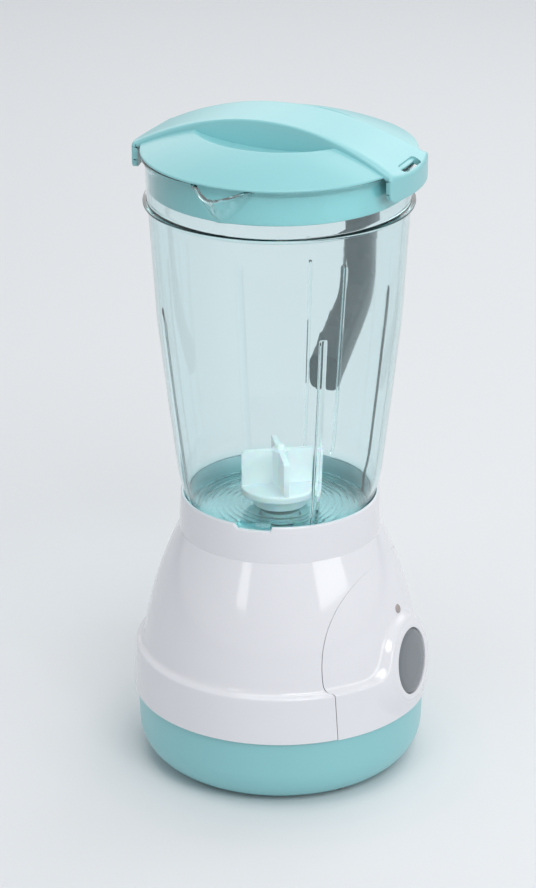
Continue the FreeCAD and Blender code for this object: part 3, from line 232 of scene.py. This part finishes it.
def rounded(corners, turn=6, run=3):
    """Points along a line whose corners (a, b, radius) are rounded, with turn points on each arc and run
    more between two corners."""
    points = [np.array(c[:2], float) for c in corners]
    path = []
    last = points[0]
    for i, point in enumerate(points):
        radius = corners[i][2] if len(corners[i]) > 2 else 0
        if 0 < i < len(points) - 1 and radius > 0:
            before, after = points[i - 1] - point, points[i + 1] - point
            before, after = before / np.linalg.norm(before), after / np.linalg.norm(after)
            half = math.acos(np.clip(before @ after, -1, 1)) / 2
            reach = radius / math.tan(half)
            middle = (before + after) / np.linalg.norm(before + after)
            centre = point + middle * radius / math.sin(half)
            start, end = point + before * reach, point + after * reach
            a, b = start - centre, end - centre
            span = math.pi - 2 * half
            arc = [centre + (a * math.sin(span * (1 - k)) + b * math.sin(span * k)) / math.sin(span)
                   for k in np.linspace(0, 1, turn)]
        else:
            arc = [point]
        if path:
            path += [last + (arc[0] - last) * k for k in np.linspace(0, 1, run + 2)[1:-1]]
        path += arc
        last = arc[-1]
    return np.array(path)


def lathe(profile, steps=192):
    """Rows for a form turned about Z from (radius, height) pairs."""
    angle = np.linspace(0, 2 * math.pi, steps, endpoint=False)
    profile = np.asarray(profile, float)
    return np.stack([np.outer(profile[:, 0], np.cos(angle)), np.outer(profile[:, 0], np.sin(angle)),
                     np.repeat(profile[:, 1:2], steps, 1)], -1)


def ramp(value, low, high):
    """Smooth step from 0 at low to 1 at high."""
    share = np.clip((np.asarray(value, float) - low) / (high - low), 0, 1)
    return share * share * (3 - 2 * share)


def blend_min(a, b, width):
    """The lower of two surfaces, with a fillet where they cross."""
    near = np.maximum(width - np.abs(a - b), 0) / width
    return np.minimum(a, b) - near * near * width / 4


# ---------------------------------------------------------------- base shell

SEAM, CREST, CREASE, COLLAR = 28.0, 46.8, 93.8, 108.1   # heights: cover, band's top, collar's foot and top
ARCH = 39.4                            # rise of the front panel's arch over the crest
PANEL_HALF, PANEL_FOOT = 38.6, 38.2    # half-width of the arch at the crest, and of the panel below it
ARCH_UP, ARCH_ACROSS = 2.1, 2.5        # powers of the arch's superellipse
FACE = np.array([0, -54.8, 46.6])      # centre of the button's face
LEAN = math.radians(7.8)               # how far the button's axis runs down towards the back
BUTTON_HOLE = 12.6
BOSS_TOP, BOSS_FALL, BOSS_EASE = 14.9, 0.4, 0.35   # the boss's flat radius, the slope round it, their blend
BOSS_FOOT = 18.0                       # radius where the boss falls off faster
GROOVE, GROOVE_WIDTH, GROOVE_DEPTH = 15.4, 0.45, 0.22
TUCK = 0.955                           # share of its radius to which an edge at a seam turns in
LUGS, LUG_HALF = (-81, 99), 9.6        # the jug's lugs and the collar's notches, in degrees from the front


def bell_radius(z):
    """The bell's side, a parabola in height."""
    rise = np.asarray(z, float) - 57.3
    return 50.85 - 0.2006 * rise - 0.003925 * rise * rise


def band_radius(z):
    """The lower band's side, which leans in a little above the crest where the boss carries it up."""
    return 55.2 + 0.9 * np.clip((CREST - z) / (CREST - SEAM), 0, 1) - 0.3 * np.maximum(z - CREST, 0)


def ledge(over):
    """Share of the step in from the band to the bell, over millimetres past the crest line."""
    past = [-1.1, -0.5, -0.1, 0.3, 0.8, 1.5, 2.4, 3.6]
    gone = [0.0, 0.06, 0.3, 0.62, 0.8, 0.91, 0.975, 1.0]
    return sum(np.interp(over + d, past, gone) for d in (-0.3, -0.15, 0, 0.15, 0.3)) / 5


def panel_half(z):
    """Half-width of the front panel at a height."""
    rise = np.clip((np.asarray(z, float) - CREST) / ARCH, 0, 1)
    arch = PANEL_HALF * (1 - rise ** ARCH_UP) ** (1 / ARCH_ACROSS)
    return np.where(np.asarray(z) < CREST, PANEL_FOOT, arch)


def front_depth(x, z):
    """How far the front is before the axis plane: band and button boss, then bell inside the crest line."""
    up = (z - FACE[2]) / math.cos(LEAN)
    out = np.hypot(x, up)
    face = -FACE[1] - (z - FACE[2]) * math.tan(LEAN)
    boss = face - BOSS_FALL * BOSS_EASE * np.logaddexp(0, (out - BOSS_TOP) / BOSS_EASE)
    boss = boss - 0.05 * np.maximum(out - BOSS_FOOT, 0) ** 2
    boss = boss - GROOVE_DEPTH * np.exp(-np.square((out - GROOVE) / GROOVE_WIDTH))
    band = np.sqrt(np.maximum(band_radius(z) ** 2 - x * x, 1))
    bell = np.sqrt(np.maximum(bell_radius(z) ** 2 - x * x, 1))
    raised = -blend_min(-boss, -band, 1.2)
    over = blend_min(z - CREST, out - 17.8, 9.0)
    return bell + (raised - bell) * (1 - ledge(over))


def base_shell():
    """Housing with band, bell and collar, open at the front where the panel sits."""
    arch = {CREST + ARCH * (1 - (x / PANEL_HALF) ** ARCH_ACROSS) ** (1 / ARCH_UP)
            for x in np.linspace(0, 36, 40)}
    heights = set(np.linspace(SEAM + 0.35, 45, 12)) | set(np.arange(45.3, 51, 0.15))
    heights = np.array(sorted(heights | set(np.linspace(51, CREASE, 34)) | arch))
    bell, band = bell_radius(heights), band_radius(heights)
    radii = bell + (band - bell) * (1 - ledge(heights - CREST))
    outer = [(55.7, SEAM)] + list(zip(radii, heights))
    mouth, hub, socket, below = 36.3, 8.3, 95.5, 93.3   # two radii, and the two sides of the socket's floor
    collar = rounded([(38.1, CREASE, 0), (37.45, COLLAR, 0.9), (mouth, COLLAR, 0.35), (mouth, socket, 0.5),
                      (hub, socket, 0.3), (hub, below, 0)], 6, 4)
    inner = [(hub, below), (36.0, below)] + [(bell_radius(z) - 2.2, z) for z in np.linspace(90, 57, 12)]
    inner += [(50.2, 48.5), (53.0, 45.0), (53.9, SEAM)]
    profile = np.array(outer + list(collar) + inner)
    count, seam_gap, notch_foot, notch = 320, 0.28, 104, 1.6
    rows = []
    for i, (radius, z) in enumerate(profile):
        on_collar = len(outer) <= i < len(outer) + len(collar)
        start = 0.0
        if not on_collar and z < CREST + ARCH:
            start = math.asin(min(1, float(panel_half(z)) / radius))
        start += seam_gap / radius if start > 0 else 0
        turn = np.linspace(start, 2 * math.pi - start, count)
        row = np.stack([radius * np.sin(turn), -radius * np.cos(turn), np.full(count, z)], -1)
        if on_collar and z > notch_foot:
            off = [np.abs((np.degrees(turn) - lug + 180) % 360 - 180) for lug in LUGS]
            dip = sum(ramp(LUG_HALF + 1.2 - away, 0, 0.8) for away in off)
            row[:, 2] -= notch * dip * min(1, z - notch_foot) * (radius > 35)
        turned_in = row[[0, -1]] * ([TUCK, TUCK, 1] if i < len(outer) and start > 0 else 1)
        rows.append(np.concatenate([turned_in[:1], row, turned_in[1:]]))
    piece("base_shell", *skin(rows), "base", "white_shell", "base_housing")


def front_piece():
    """Panel with the button's boss: rings round the button that grow out to the panel's outline."""
    level = np.arange(-7, 7.01, 0.25)
    turn = np.radians(np.concatenate([level, np.arange(8, 172.5, 1), 180 + level, np.arange(188, 352.5, 1)]))
    across, up = np.cos(turn), np.sin(turn)
    reach, beyond = np.full(len(turn), BUTTON_HOLE), np.full(len(turn), 90.0)
    for _ in range(40):
        middle = (reach + beyond) / 2
        x, z = middle * across, FACE[2] + middle * up
        inside = (z > SEAM) & (z < CREST + ARCH) & (np.abs(x) < panel_half(z))
        reach, beyond = np.where(inside, middle, reach), np.where(inside, beyond, middle)
    first, boss, dense = 12.85, 8.4, 0.2   # first ring, width of the boss's close rings, their share
    rows = []
    for share in np.concatenate([np.linspace(0, dense, 22)[:-1], np.linspace(dense, 1, 70)]):
        early, late = min(1, share / dense), max(0, (share - dense) / (1 - dense))
        wide = first + boss * early + (reach - first - boss) * late
        narrow = first + (reach - first) * (early * 0.85 + 0.15 * late)
        radius = np.where(reach < first + boss, narrow, wide)
        x, z = radius * across, FACE[2] + radius * up
        rows.append(np.stack([x, -front_depth(x, z), z], -1))
    rows.append(rows[-1] * [TUCK, TUCK, 1])
    hole = []
    for radius, painted_floor_shade in ((BUTTON_HOLE, 5.0), (BUTTON_HOLE, 0.3), (BUTTON_HOLE + 0.08, 0.08)):
        x, z = radius * across, FACE[2] + radius * up * math.cos(LEAN)
        y = FACE[1] + radius * up * math.sin(LEAN)
        hole.append(np.stack([x, y + painted_floor_shade * math.cos(LEAN), z - painted_floor_shade * math.sin(LEAN)], -1))
    piece("front_shell", *skin(hole + rows, around=True), "base", "white_shell", "front_panel")


def button_cap():
    """Button with a slightly dished face and a soft edge."""
    side = BUTTON_HOLE - 0.3
    profile = rounded([(0, -0.75, 0), (7, -0.62, 20), (11.4, -0.15, 4), (side, 0.6, 0.4),
                       (side, 5, 0)], 8, 4)
    rows = lathe([(r, -d) for r, d in profile], 128)
    tilt = Matrix.Rotation(math.radians(90) - LEAN, 3, "X")
    flat = rows.reshape(-1, 3) @ np.array(tilt).T + FACE
    points, faces = skin(flat.reshape(rows.shape), around=True)
    piece("button_cap", points, faces, "button", "button_plastic", "push_button")


def return_coil():
    """Spring behind the button."""
    back = np.array([0, math.cos(LEAN), -math.sin(LEAN)])
    side_up = np.array([0, math.sin(LEAN), math.cos(LEAN)])
    fixed, length, wire, radius, turns, travel = 15.9, 14.2, 0.35, 5.7, 4, 2.5
    ring = np.linspace(0, 2 * math.pi, 10, endpoint=False)
    rows = []
    for share in np.linspace(0, 1, 145):
        turn = 2 * math.pi * turns * share
        outward = np.array([math.cos(turn), 0, 0]) + side_up * math.sin(turn)
        centre = FACE + back * (fixed - wire - (length - 2 * wire) * share) + outward * radius
        rows.append([centre + wire * (outward * math.cos(a) + back * math.sin(a)) for a in ring])
    coil = piece("return_coil", *skin(rows, around=True, caps=True), "base", "steel", "button_spring")
    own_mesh(coil)


# ---------------------------------------------------------------- jug

RIM, BEAK_FOOT, BEAD_TOP = 241.4, 227.0, 223.7
WALL = 1.6
RIBS, RIB_TOP, RIB_HEIGHT = (45, 135, 225, 315), 183.5, 0.75   # inside, in degrees from +X
GUIDES, GUIDE_LOW, GUIDE_HEIGHT = (-9.3, 9.3), 109.6, 1.1      # outside, beside the handle


def jug_radius(z):
    """Outer radius of the jug's wall."""
    heights = [95.8, 108.1, 110.5, 113.4, 117.5, 122, 139.3, 145.8, 171, 177.5, 214.65, 221.8]
    radii = [35.9, 36.05, 36.7, 37.6, 38.4, 38.95, 41.0, 41.8, 44.6, 45.3, 47.6, 47.9]
    return np.interp(z, heights, radii)


def smooth_radius(z):
    """The wall's radius with its knots rounded off."""
    z = np.asarray(z, float)
    return sum(jug_radius(z + d) for d in (-1.2, -0.6, 0, 0.6, 1.2)) / 5


def beak(angle, z, tip, nose, wall):
    """Radius of the pouring beak, a V with a round nose, at an angle off -X; never inside the wall."""
    rise = max(0, z - BEAK_FOOT) / (RIM - BEAK_FOOT)
    slope, foot, growth = 1.3, 48.2, 10.3
    reach = foot + growth * rise ** 1.15 - tip + slope * nose
    a = np.cos(angle) ** 2 - (slope * np.sin(angle)) ** 2
    b = reach * np.cos(angle)
    radius = (b - np.sqrt(b * b - a * (reach ** 2 - (slope * nose) ** 2))) / a
    return -blend_min(-radius, np.full(np.shape(angle), -float(wall)), 0.8)


def jug_angles():
    """Columns round the jug from +X, close together at the beak, the ribs, the guides and the lugs."""
    near_beak = np.arange(0, 19, 0.75)
    angles = set(np.round(np.concatenate([np.arange(0, 360, 3.0), 180 - near_beak, 180 + near_beak]), 4))
    for places, steps in ((RIBS, (0.4, 0.7, 1.0, 1.3, 1.6, 1.9, 2.2)), (GUIDES, (0.5, 0.8, 1.1)),
                          ([lug - 90 for lug in LUGS], (LUG_HALF, 10.2, 10.6))):
        angles |= {(place + way * step) % 360 for place in places for step in steps for way in (-1, 1)}
    return np.radians(sorted(angles))


def jug_profile():
    """(radius, height, face) round the wall: up the outside, over the rim, down the inside and the floor."""
    def run(face, steps, corners):
        return [(r, z, face) for r, z in rounded(corners, 5, steps)]

    heights = np.concatenate([[108.1, 109, 110, 110.4, 111.2, 112.5, 114, 115.5, 117, 119],
                              np.arange(122, 180, 4.5), [180.5, 181.5, 182.4, 183.1, 183.4, 183.7],
                              np.arange(187, 221, 4.5), [221.6]])
    foot = [(33.2, 95.8, 0.8), (35.9, 95.8, 0.8), (35.94, 106.5, 0), (35.94, 106.7, 0), (35.95, 108.0, 0)]
    bead = [(47.95, 221.9, 0.3), (49.8, 222.3, 0.5), (49.8, 223.3, 0.5), (48.3, BEAD_TOP, 0.4),
            (48.32, 224.6, 0)]
    rim = [(48.88, 238.8, 0), (48.9, 239.4, 0.5), (50.4, 240.0, 0.4), (50.4, RIM, 0.5), (47.4, RIM, 0.4),
           (47.2, 238.0, 0)]
    ridge = ((0.7, 0), (0.35, 0.05), (0, 0.1), (-0.35, 0.05), (-0.7, 0))
    rings = [(r + d, 102.2 + h) for r in np.arange(28.6, 14, -2.3) for d, h in ridge]
    floor = [(34.4, 105, 0), (34.4, 101.2, 0.8), (32.5, 101.2, 0.4), (32.5, 103.2, 0.4), (31.0, 103.2, 0.4),
             (31.0, 102.2, 0.4), *rings, (8.0, 102.2, 0.8), (7.4, 106.0, 0.6), (4.0, 106.0, 0.1),
             (4.0, 100.4, 0.1), (31.4, 100.4, 0.3), (31.4, 99.4, 0.3), (33.2, 99.4, 0.3), (33.2, 97.0, 0)]
    profile = run("out", 1, foot) + [(float(smooth_radius(z)), z, "out") for z in heights]
    profile += run("out", 2, bead)
    profile += [(48.3 + 0.0385 * (z - BEAD_TOP), z, "out") for z in np.arange(225.4, 238.5, 0.8)]
    profile += run("out", 3, rim)
    profile += [(47.1, z, "in") for z in np.arange(237.2, 224, -0.8)] + [(46.6, 223, "in")]
    profile += [(float(smooth_radius(z)) - WALL, z, "in") for z in heights[::-1]]
    return profile + run("floor", 2, floor)


def jug_shell():
    """Clear jug: its profile turned, with beak, inside ribs, outside guides and locating lugs."""
    angle = jug_angles()
    beak_half, past_beak = math.radians(24), math.radians(25)
    droop = 0.27       # of the beak, for each millimetre that it reaches out
    lug_low, lug_high, lug_reach = 106.6, 108.6, 1.2
    off_beak = np.clip(angle - math.pi, -past_beak, past_beak)
    at_wall = 34       # from this radius on, the floor's rim has the ribs too

    def off(place):
        return np.abs((np.degrees(angle) - place + 180) % 360 - 180)

    rows = []
    for radius, z, face in jug_profile():
        line = np.full(len(angle), radius)
        if face != "floor" and z > BEAD_TOP + 0.2:
            tip, nose = (1.5, 4.4) if face == "in" or radius < 47.6 else (0.0, 5.0)
            if radius > 49.5 and z > 239.5:
                tip = -0.6
            line = np.where(np.abs(off_beak) < beak_half, beak(off_beak, z, tip, nose, radius), line)
        if face == "in" or face == "floor" and radius > at_wall:
            height = RIB_HEIGHT * np.clip((RIB_TOP - z) / 3, 0, 1) ** 0.5
            for rib in RIBS:
                line = line - height * (1 - ramp(radius * np.radians(off(rib)), 0.4, 1.6))
        if face == "out" and GUIDE_LOW - 0.1 < z < RIB_TOP:
            height = GUIDE_HEIGHT * min(1, (RIB_TOP + 0.1 - z) / 0.8, (z - GUIDE_LOW) / 0.6)
            for guide in GUIDES:
                line = line + height * (1 - ramp(off(guide), 0.55, 0.85))
        if face == "out" and lug_low < z < lug_high and radius < 37:
            for lug in LUGS:
                line = line + lug_reach * (1 - ramp(off(lug - 90), LUG_HALF, LUG_HALF + 0.7))
        sunk = droop * np.maximum(line - 50.4, 0) * ramp(z, 228, 240)
        rows.append(np.stack([line * np.cos(angle), line * np.sin(angle), z - sunk], -1))
    piece("jug_shell", *skin(rows, around=True, closed=True), "jug", "clear_shell", "jug")


def grip():
    """Handle: a squared bar along a bent loop, cut off where it meets the jug's wall."""
    outer = rounded([(44, 228.2, 0), (86.4, 228.2, 10.5), (86.4, 158.5, 20), (42.0, 133.0, 0)], 14, 12)
    inner = rounded([(44, 216.6, 0), (74.9, 216.6, 4.0), (74.9, 166.4, 5.0), (42.0, 146.6, 0)], 14, 12)
    turn = np.linspace(0, 2 * math.pi, 32, endpoint=False)
    thick, squareness = 6.5, 0.45
    rows = []
    for a, b in zip(outer, inner):
        centre, half = (a + b) / 2, (a - b) / 2
        size = np.linalg.norm(half)
        along = half / size
        u = np.sign(np.cos(turn)) * np.abs(np.cos(turn)) ** squareness * size
        v = np.sign(np.sin(turn)) * np.abs(np.sin(turn)) ** squareness * thick
        rows.append(np.stack([centre[0] + along[0] * u, v, centre[1] + along[1] * u], -1))
    rows = np.array(rows)
    wall = smooth_radius(np.clip(rows[..., 2], 110, 221)) - 0.3
    rows[..., 0] = np.maximum(rows[..., 0], np.sqrt(wall ** 2 - rows[..., 1] ** 2))
    piece("grip", *skin(rows, around=True, caps=True), "jug", "slate_plastic", "handle")


# ---------------------------------------------------------------- lid

DOME, DOME_TOP = 118.0, 253.5                      # radius and top of the lid's dome
SCOOP, SCOOP_OFF, SCOOP_DEPTH = 34.7, 3.8, 7.5     # a scoop's radius, its centre past the middle, its depth
LID_EDGE, LID_WALL = 50.5, 1.8
STRAP_ARCH, STRAP_CENTRE = 106.25, 149.25          # radius of the strap's arch and height of its centre
STRAP_END, TAB_IN, TAB_OUT = 52.3, 51.8, 54.0      # radii of the strap's end and of the tab's two faces
STRAP_STEPS, TAB_DROPS = 81, 8                     # points along the strap and down a tab's face


def dome_height(x, y):
    """Top of the lid's dome, level from just past its edge."""
    past_edge = 2800   # radius squared
    return DOME_TOP - (DOME - np.sqrt(DOME ** 2 - np.minimum(x * x + y * y, past_edge)))


def lid_height(x, y):
    """Top of the lid's disc, with the two scoops."""
    brim, clear = 252, 260
    off = np.hypot(np.abs(x) + SCOOP_OFF, y)
    bowl = brim - SCOOP_DEPTH * np.sqrt(np.clip(1 - (off / SCOOP) ** 2, 0, 1))
    return blend_min(dome_height(x, y), np.where(off < SCOOP, bowl, clear), 0.5)


def strap_half(y):
    """Half-width of the strap, which widens towards its ends."""
    return 12.5 + 4.3 * np.square(y / 50.5)


def strap_height(y):
    """Top of the strap's arch."""
    return STRAP_CENTRE + np.sqrt(STRAP_ARCH ** 2 - np.square(y))


def lid_disc():
    """Domed disc with its edge and underside."""
    turn = np.linspace(0, 2 * math.pi, 400, endpoint=False)

    def ring(radius, below):
        x, y = radius * np.cos(turn), radius * np.sin(turn)
        return np.stack([x, y, lid_height(x, y) - below], -1)

    seat = RIM + 0.05
    edge = rounded([(49.6, 242.6, 0), (LID_EDGE, 242.2, 0.5), (LID_EDGE, seat, 0.3), (45.3, seat, 0)], 5, 1)
    rows = [ring(radius, 0) for radius in np.concatenate([[0.01, 2, 4, 6, 8, 10], np.arange(11, 49.5, 0.5)])]
    rows += list(lathe(edge, len(turn)))
    rows += [ring(radius, LID_WALL) for radius in np.concatenate([np.arange(45, 10, -1.0), [8, 4, 0.01]])]
    piece("lid_disc", *skin(rows, around=True), "lid", "mint_shell", "lid_top")


def strap_loop(across, inset):
    """One closed loop along the strap: its top, a tab, its underside and the other tab."""
    share = np.linspace(-1, 1, STRAP_STEPS)
    fall = 0.7 - math.sqrt(max(0, 0.49 - max(0, 0.7 - inset) ** 2))
    end = across * (16.8 - inset)
    foot = 235.7 - math.sqrt(max(0, 3.2 ** 2 - max(0, abs(end) - 13.6) ** 2))
    y = share * math.sqrt(STRAP_END ** 2 - end ** 2)
    camber = fall + 0.9 * max(0, 1 - inset / 3.0) ** 2 * ramp(np.abs(y), 12, 48)
    top = np.stack([across * (strap_half(y) - inset), y, strap_height(y) - camber], -1)
    y = share[::-1] * math.sqrt(TAB_IN ** 2 - end ** 2)
    thin = np.maximum(inset, 1.6 * (1 - ramp(np.abs(y), 43, 49)))
    low = strap_height(y) - LID_WALL - 0.9 * ramp(np.abs(y), 43, 49)
    under = np.stack([across * (strap_half(y) - thin), y, low], -1)
    crown, ceiling = top[-1, 2] + fall, under[0, 2]
    bend = [(STRAP_END + (1.7 - fall) * math.sin(a), crown - 1.7 + (1.7 - fall) * math.cos(a))
            for a in np.radians((22.5, 45, 67.5, 90))]
    drops = np.linspace(ceiling, foot + 0.5, TAB_DROPS)
    tab = bend + [(TAB_OUT - fall, z) for z in drops]
    tab += [(TAB_OUT - 0.15 - fall, foot + 0.15), (TAB_OUT - 0.5 - fall, foot)]
    tab += [(TAB_IN + 0.4, foot), (TAB_IN + 0.12, foot + 0.15)]
    tab += [(TAB_IN, z) for z in drops[:0:-1]]
    deep = math.sqrt(STRAP_END ** 2 - end ** 2)
    side = np.array([(end * r / STRAP_END, deep * r / STRAP_END, z) for r, z in tab])
    return np.concatenate([top, side, under, side[::-1] * [1, -1, 1]])


def strap_side(points, faces, first, count):
    """Closes the strap along the loop that begins at a point, with a skirt down into the lid's disc."""
    steps = np.arange(STRAP_STEPS)
    tab, below_top = count // 2 - STRAP_STEPS, 0.6
    top, under = first + steps, first + STRAP_STEPS + tab + steps[::-1]
    outer, inner = len(points) + steps, len(points) + STRAP_STEPS + steps
    for line in (top, under):
        for i in steps:
            x, y = points[top[i]][:2]
            low = points[under[i]][2]
            if math.hypot(x, y) < LID_EDGE - 0.3:
                low = min(low, float(lid_height(x, y)) - below_top)
            points.append((points[line[i]][0], y, low))
    for line, other in ((top, outer), (outer, inner), (inner, under)):
        faces += [[line[i], line[i + 1], other[i + 1], other[i]] for i in steps[:-1]]
    far, near = first + STRAP_STEPS + np.arange(tab), first + count - 1 - np.arange(tab)
    for way, last in ((far, -1), (near, 0)):
        faces += [[top[last], *way[:5], under[last], inner[last], outer[last]]]
        faces += [[way[4 + i], way[5 + i], way[-2 - i], way[-1 - i]] for i in range(TAB_DROPS - 1)]


def lid_strap():
    """Strap with a tab at each end: a loop along it for each place across, and a skirt down each side."""
    insets = [0, 0.12, 0.35, 0.7, 1.2, 1.9, 2.6]
    columns = [(-1, d) for d in insets] + [(k, 3.2) for k in np.linspace(-1, 1, 15)]
    columns += [(1, d) for d in insets[::-1]]
    loops = [strap_loop(across, inset) for across, inset in columns]
    points, faces = skin(loops, around=True)
    points, count = list(points), len(loops[0])
    for edge in (0, len(loops) - 1):
        strap_side(points, faces, edge * count, count)
    strap = piece("lid_strap", points, [[int(i) for i in face] for face in faces], "lid", "mint_shell")
    slot_half, slot_radius, slot_y = 7.5, 1.9, -51.0
    carve(strap, stadium(slot_half, slot_radius, 237.5, 250, (0, slot_y)))


def stadium(half, radius, low, high, centre):
    """Upright cutter with round ends, long in X."""
    turn = np.linspace(-math.pi / 2, math.pi / 2, 12)
    right = [(half - radius + radius * math.cos(a), radius * math.sin(a)) for a in turn]
    outline = right + [(-x, -y) for x, y in right]
    rows = [[(centre[0] + x, centre[1] + y, z) for x, y in outline] for z in (low, high)]
    return skin(rows, around=True, caps=True)


def carve(obj, solid):
    """Cuts a closed solid, given as points and faces, out of a piece."""
    points, faces = solid
    mesh = bpy.data.meshes.new("cutter")
    mesh.from_pydata(np.asarray(points) * 0.001, [], faces)
    tool = bpy.data.objects.new("cutter", mesh)
    bpy.context.scene.collection.objects.link(tool)
    cut = obj.modifiers.new("cut", "BOOLEAN")
    cut.object = tool
    cut.operation = "DIFFERENCE"
    cut.solver = "EXACT"
    bpy.context.view_layer.update()
    done = bpy.data.meshes.new_from_object(obj.evaluated_get(bpy.context.evaluated_depsgraph_get()))
    obj.modifiers.clear()
    obj.data = done
    bpy.data.objects.remove(tool)
    done.set_sharp_from_angle(angle=math.radians(35))


def plug_ring():
    """Ring under the lid that sits in the jug's mouth."""
    profile = rounded([(46.9, 240.8, 0), (46.9, 228.1, 0.5), (45.4, 228.1, 0.4), (45.4, 241.6, 0)], 5, 3)
    piece("plug_ring", *skin(lathe(profile), around=True), "lid", "mint_shell", "lid_plug")


base_shell()
front_piece()
button_cap()
return_coil()
jug_shell()
grip()
lid_disc()
lid_strap()
plug_ring()

# ---------------------------------------------------------------- stage, light and camera


def stage():
    """Pale floor under the toy."""
    mat = bpy.data.materials.new("pale_floor")
    mat.use_nodes = True
    shader = mat.node_tree.nodes["Principled BSDF"]
    shader.inputs["Base Color"].default_value = (0.80, 0.81, 0.82, 1)
    shader.inputs["Roughness"].default_value = 0.9
    half = 6
    mesh = bpy.data.meshes.new("floor")
    corners = [(-half, -half, 0), (half, -half, 0), (half, half, 0), (-half, half, 0)]
    mesh.from_pydata(corners, [], [(0, 1, 2, 3)])
    mesh.materials.append(mat)
    floor = bpy.data.objects.new("floor", mesh)
    bpy.context.scene.collection.objects.link(floor)


def lamp(name, place, aim, size, power):
    """White area lamp, size across and up in metres."""
    light = bpy.data.lights.new(name, "AREA")
    light.shape = "RECTANGLE"
    light.size, light.size_y = size
    light.energy = power
    obj = bpy.data.objects.new(name, light)
    obj.location = place
    obj.rotation_euler = (Vector(aim) - Vector(place)).to_track_quat("-Z", "Y").to_euler()
    bpy.context.scene.collection.objects.link(obj)


def world():
    """Even sky: brighter where the camera sees it, straight, mirrored or through the jug, than as light."""
    sky = bpy.data.worlds.new("studio")
    bpy.context.scene.world = sky
    sky.use_nodes = True
    nodes, links = sky.node_tree.nodes, sky.node_tree.links
    nodes.clear()
    out = nodes.new("ShaderNodeOutputWorld")
    soft, shown = nodes.new("ShaderNodeBackground"), nodes.new("ShaderNodeBackground")
    soft.inputs["Color"].default_value = (0.86, 0.90, 0.95, 1)
    soft.inputs["Strength"].default_value = 0.45
    shown.inputs["Color"].default_value = (0.93, 0.94, 0.95, 1)
    shown.inputs["Strength"].default_value = 0.85
    path = nodes.new("ShaderNodeLightPath")
    either, any_ray = nodes.new("ShaderNodeMath"), nodes.new("ShaderNodeMath")
    either.operation = any_ray.operation = "MAXIMUM"
    links.new(path.outputs["Is Camera Ray"], either.inputs[0])
    links.new(path.outputs["Is Transmission Ray"], either.inputs[1])
    links.new(either.outputs[0], any_ray.inputs[0])
    links.new(path.outputs["Is Glossy Ray"], any_ray.inputs[1])
    mix = nodes.new("ShaderNodeMixShader")
    links.new(any_ray.outputs[0], mix.inputs["Fac"])
    links.new(soft.outputs[0], mix.inputs[1])
    links.new(shown.outputs[0], mix.inputs[2])
    links.new(mix.outputs[0], out.inputs["Surface"])


stage()
world()
lamp("window", (-0.28, -1.25, 0.52), (0, 0, 0.09), (0.75, 0.36), 2.4)
lamp("strip", (-1.24, 0.26, 0.50), (0, 0, 0.09), (0.22, 0.30), 0.55)
lamp("key", (-0.75, -0.75, 1.15), (0, 0, 0.14), (0.7, 0.5), 5.5)
lamp("fill", (0.9, -0.3, 0.9), (0, 0, 0.15), (0.8, 0.8), 2.5)
lamp("back", (1.0, 0.5, 0.85), (0, 0, 0.2), (1.3, 1.0), 3.0)
lamp("top", (-0.2, -0.1, 1.5), (0, 0, 0.2), (0.9, 0.9), 6)

camera = bpy.data.cameras.new("camera")
camera.sensor_fit = "VERTICAL"
camera.sensor_height = 36
camera.lens = 135.74
camera.clip_end = 20
eye = bpy.data.objects.new("camera", camera)
place = (-1.05335, -0.48226, 0.6102)
right, up = Vector((0.41831589, -0.90829344, -0.00385305)), Vector((0.35182458, 0.15811953, 0.92261459))
turn = Matrix((right, up, right.cross(up))).transposed()
eye.matrix_world = Matrix.Translation(place) @ turn.to_4x4()
bpy.context.scene.collection.objects.link(eye)
bpy.context.scene.camera = eye
bpy.context.scene.view_settings.view_transform = "Standard"
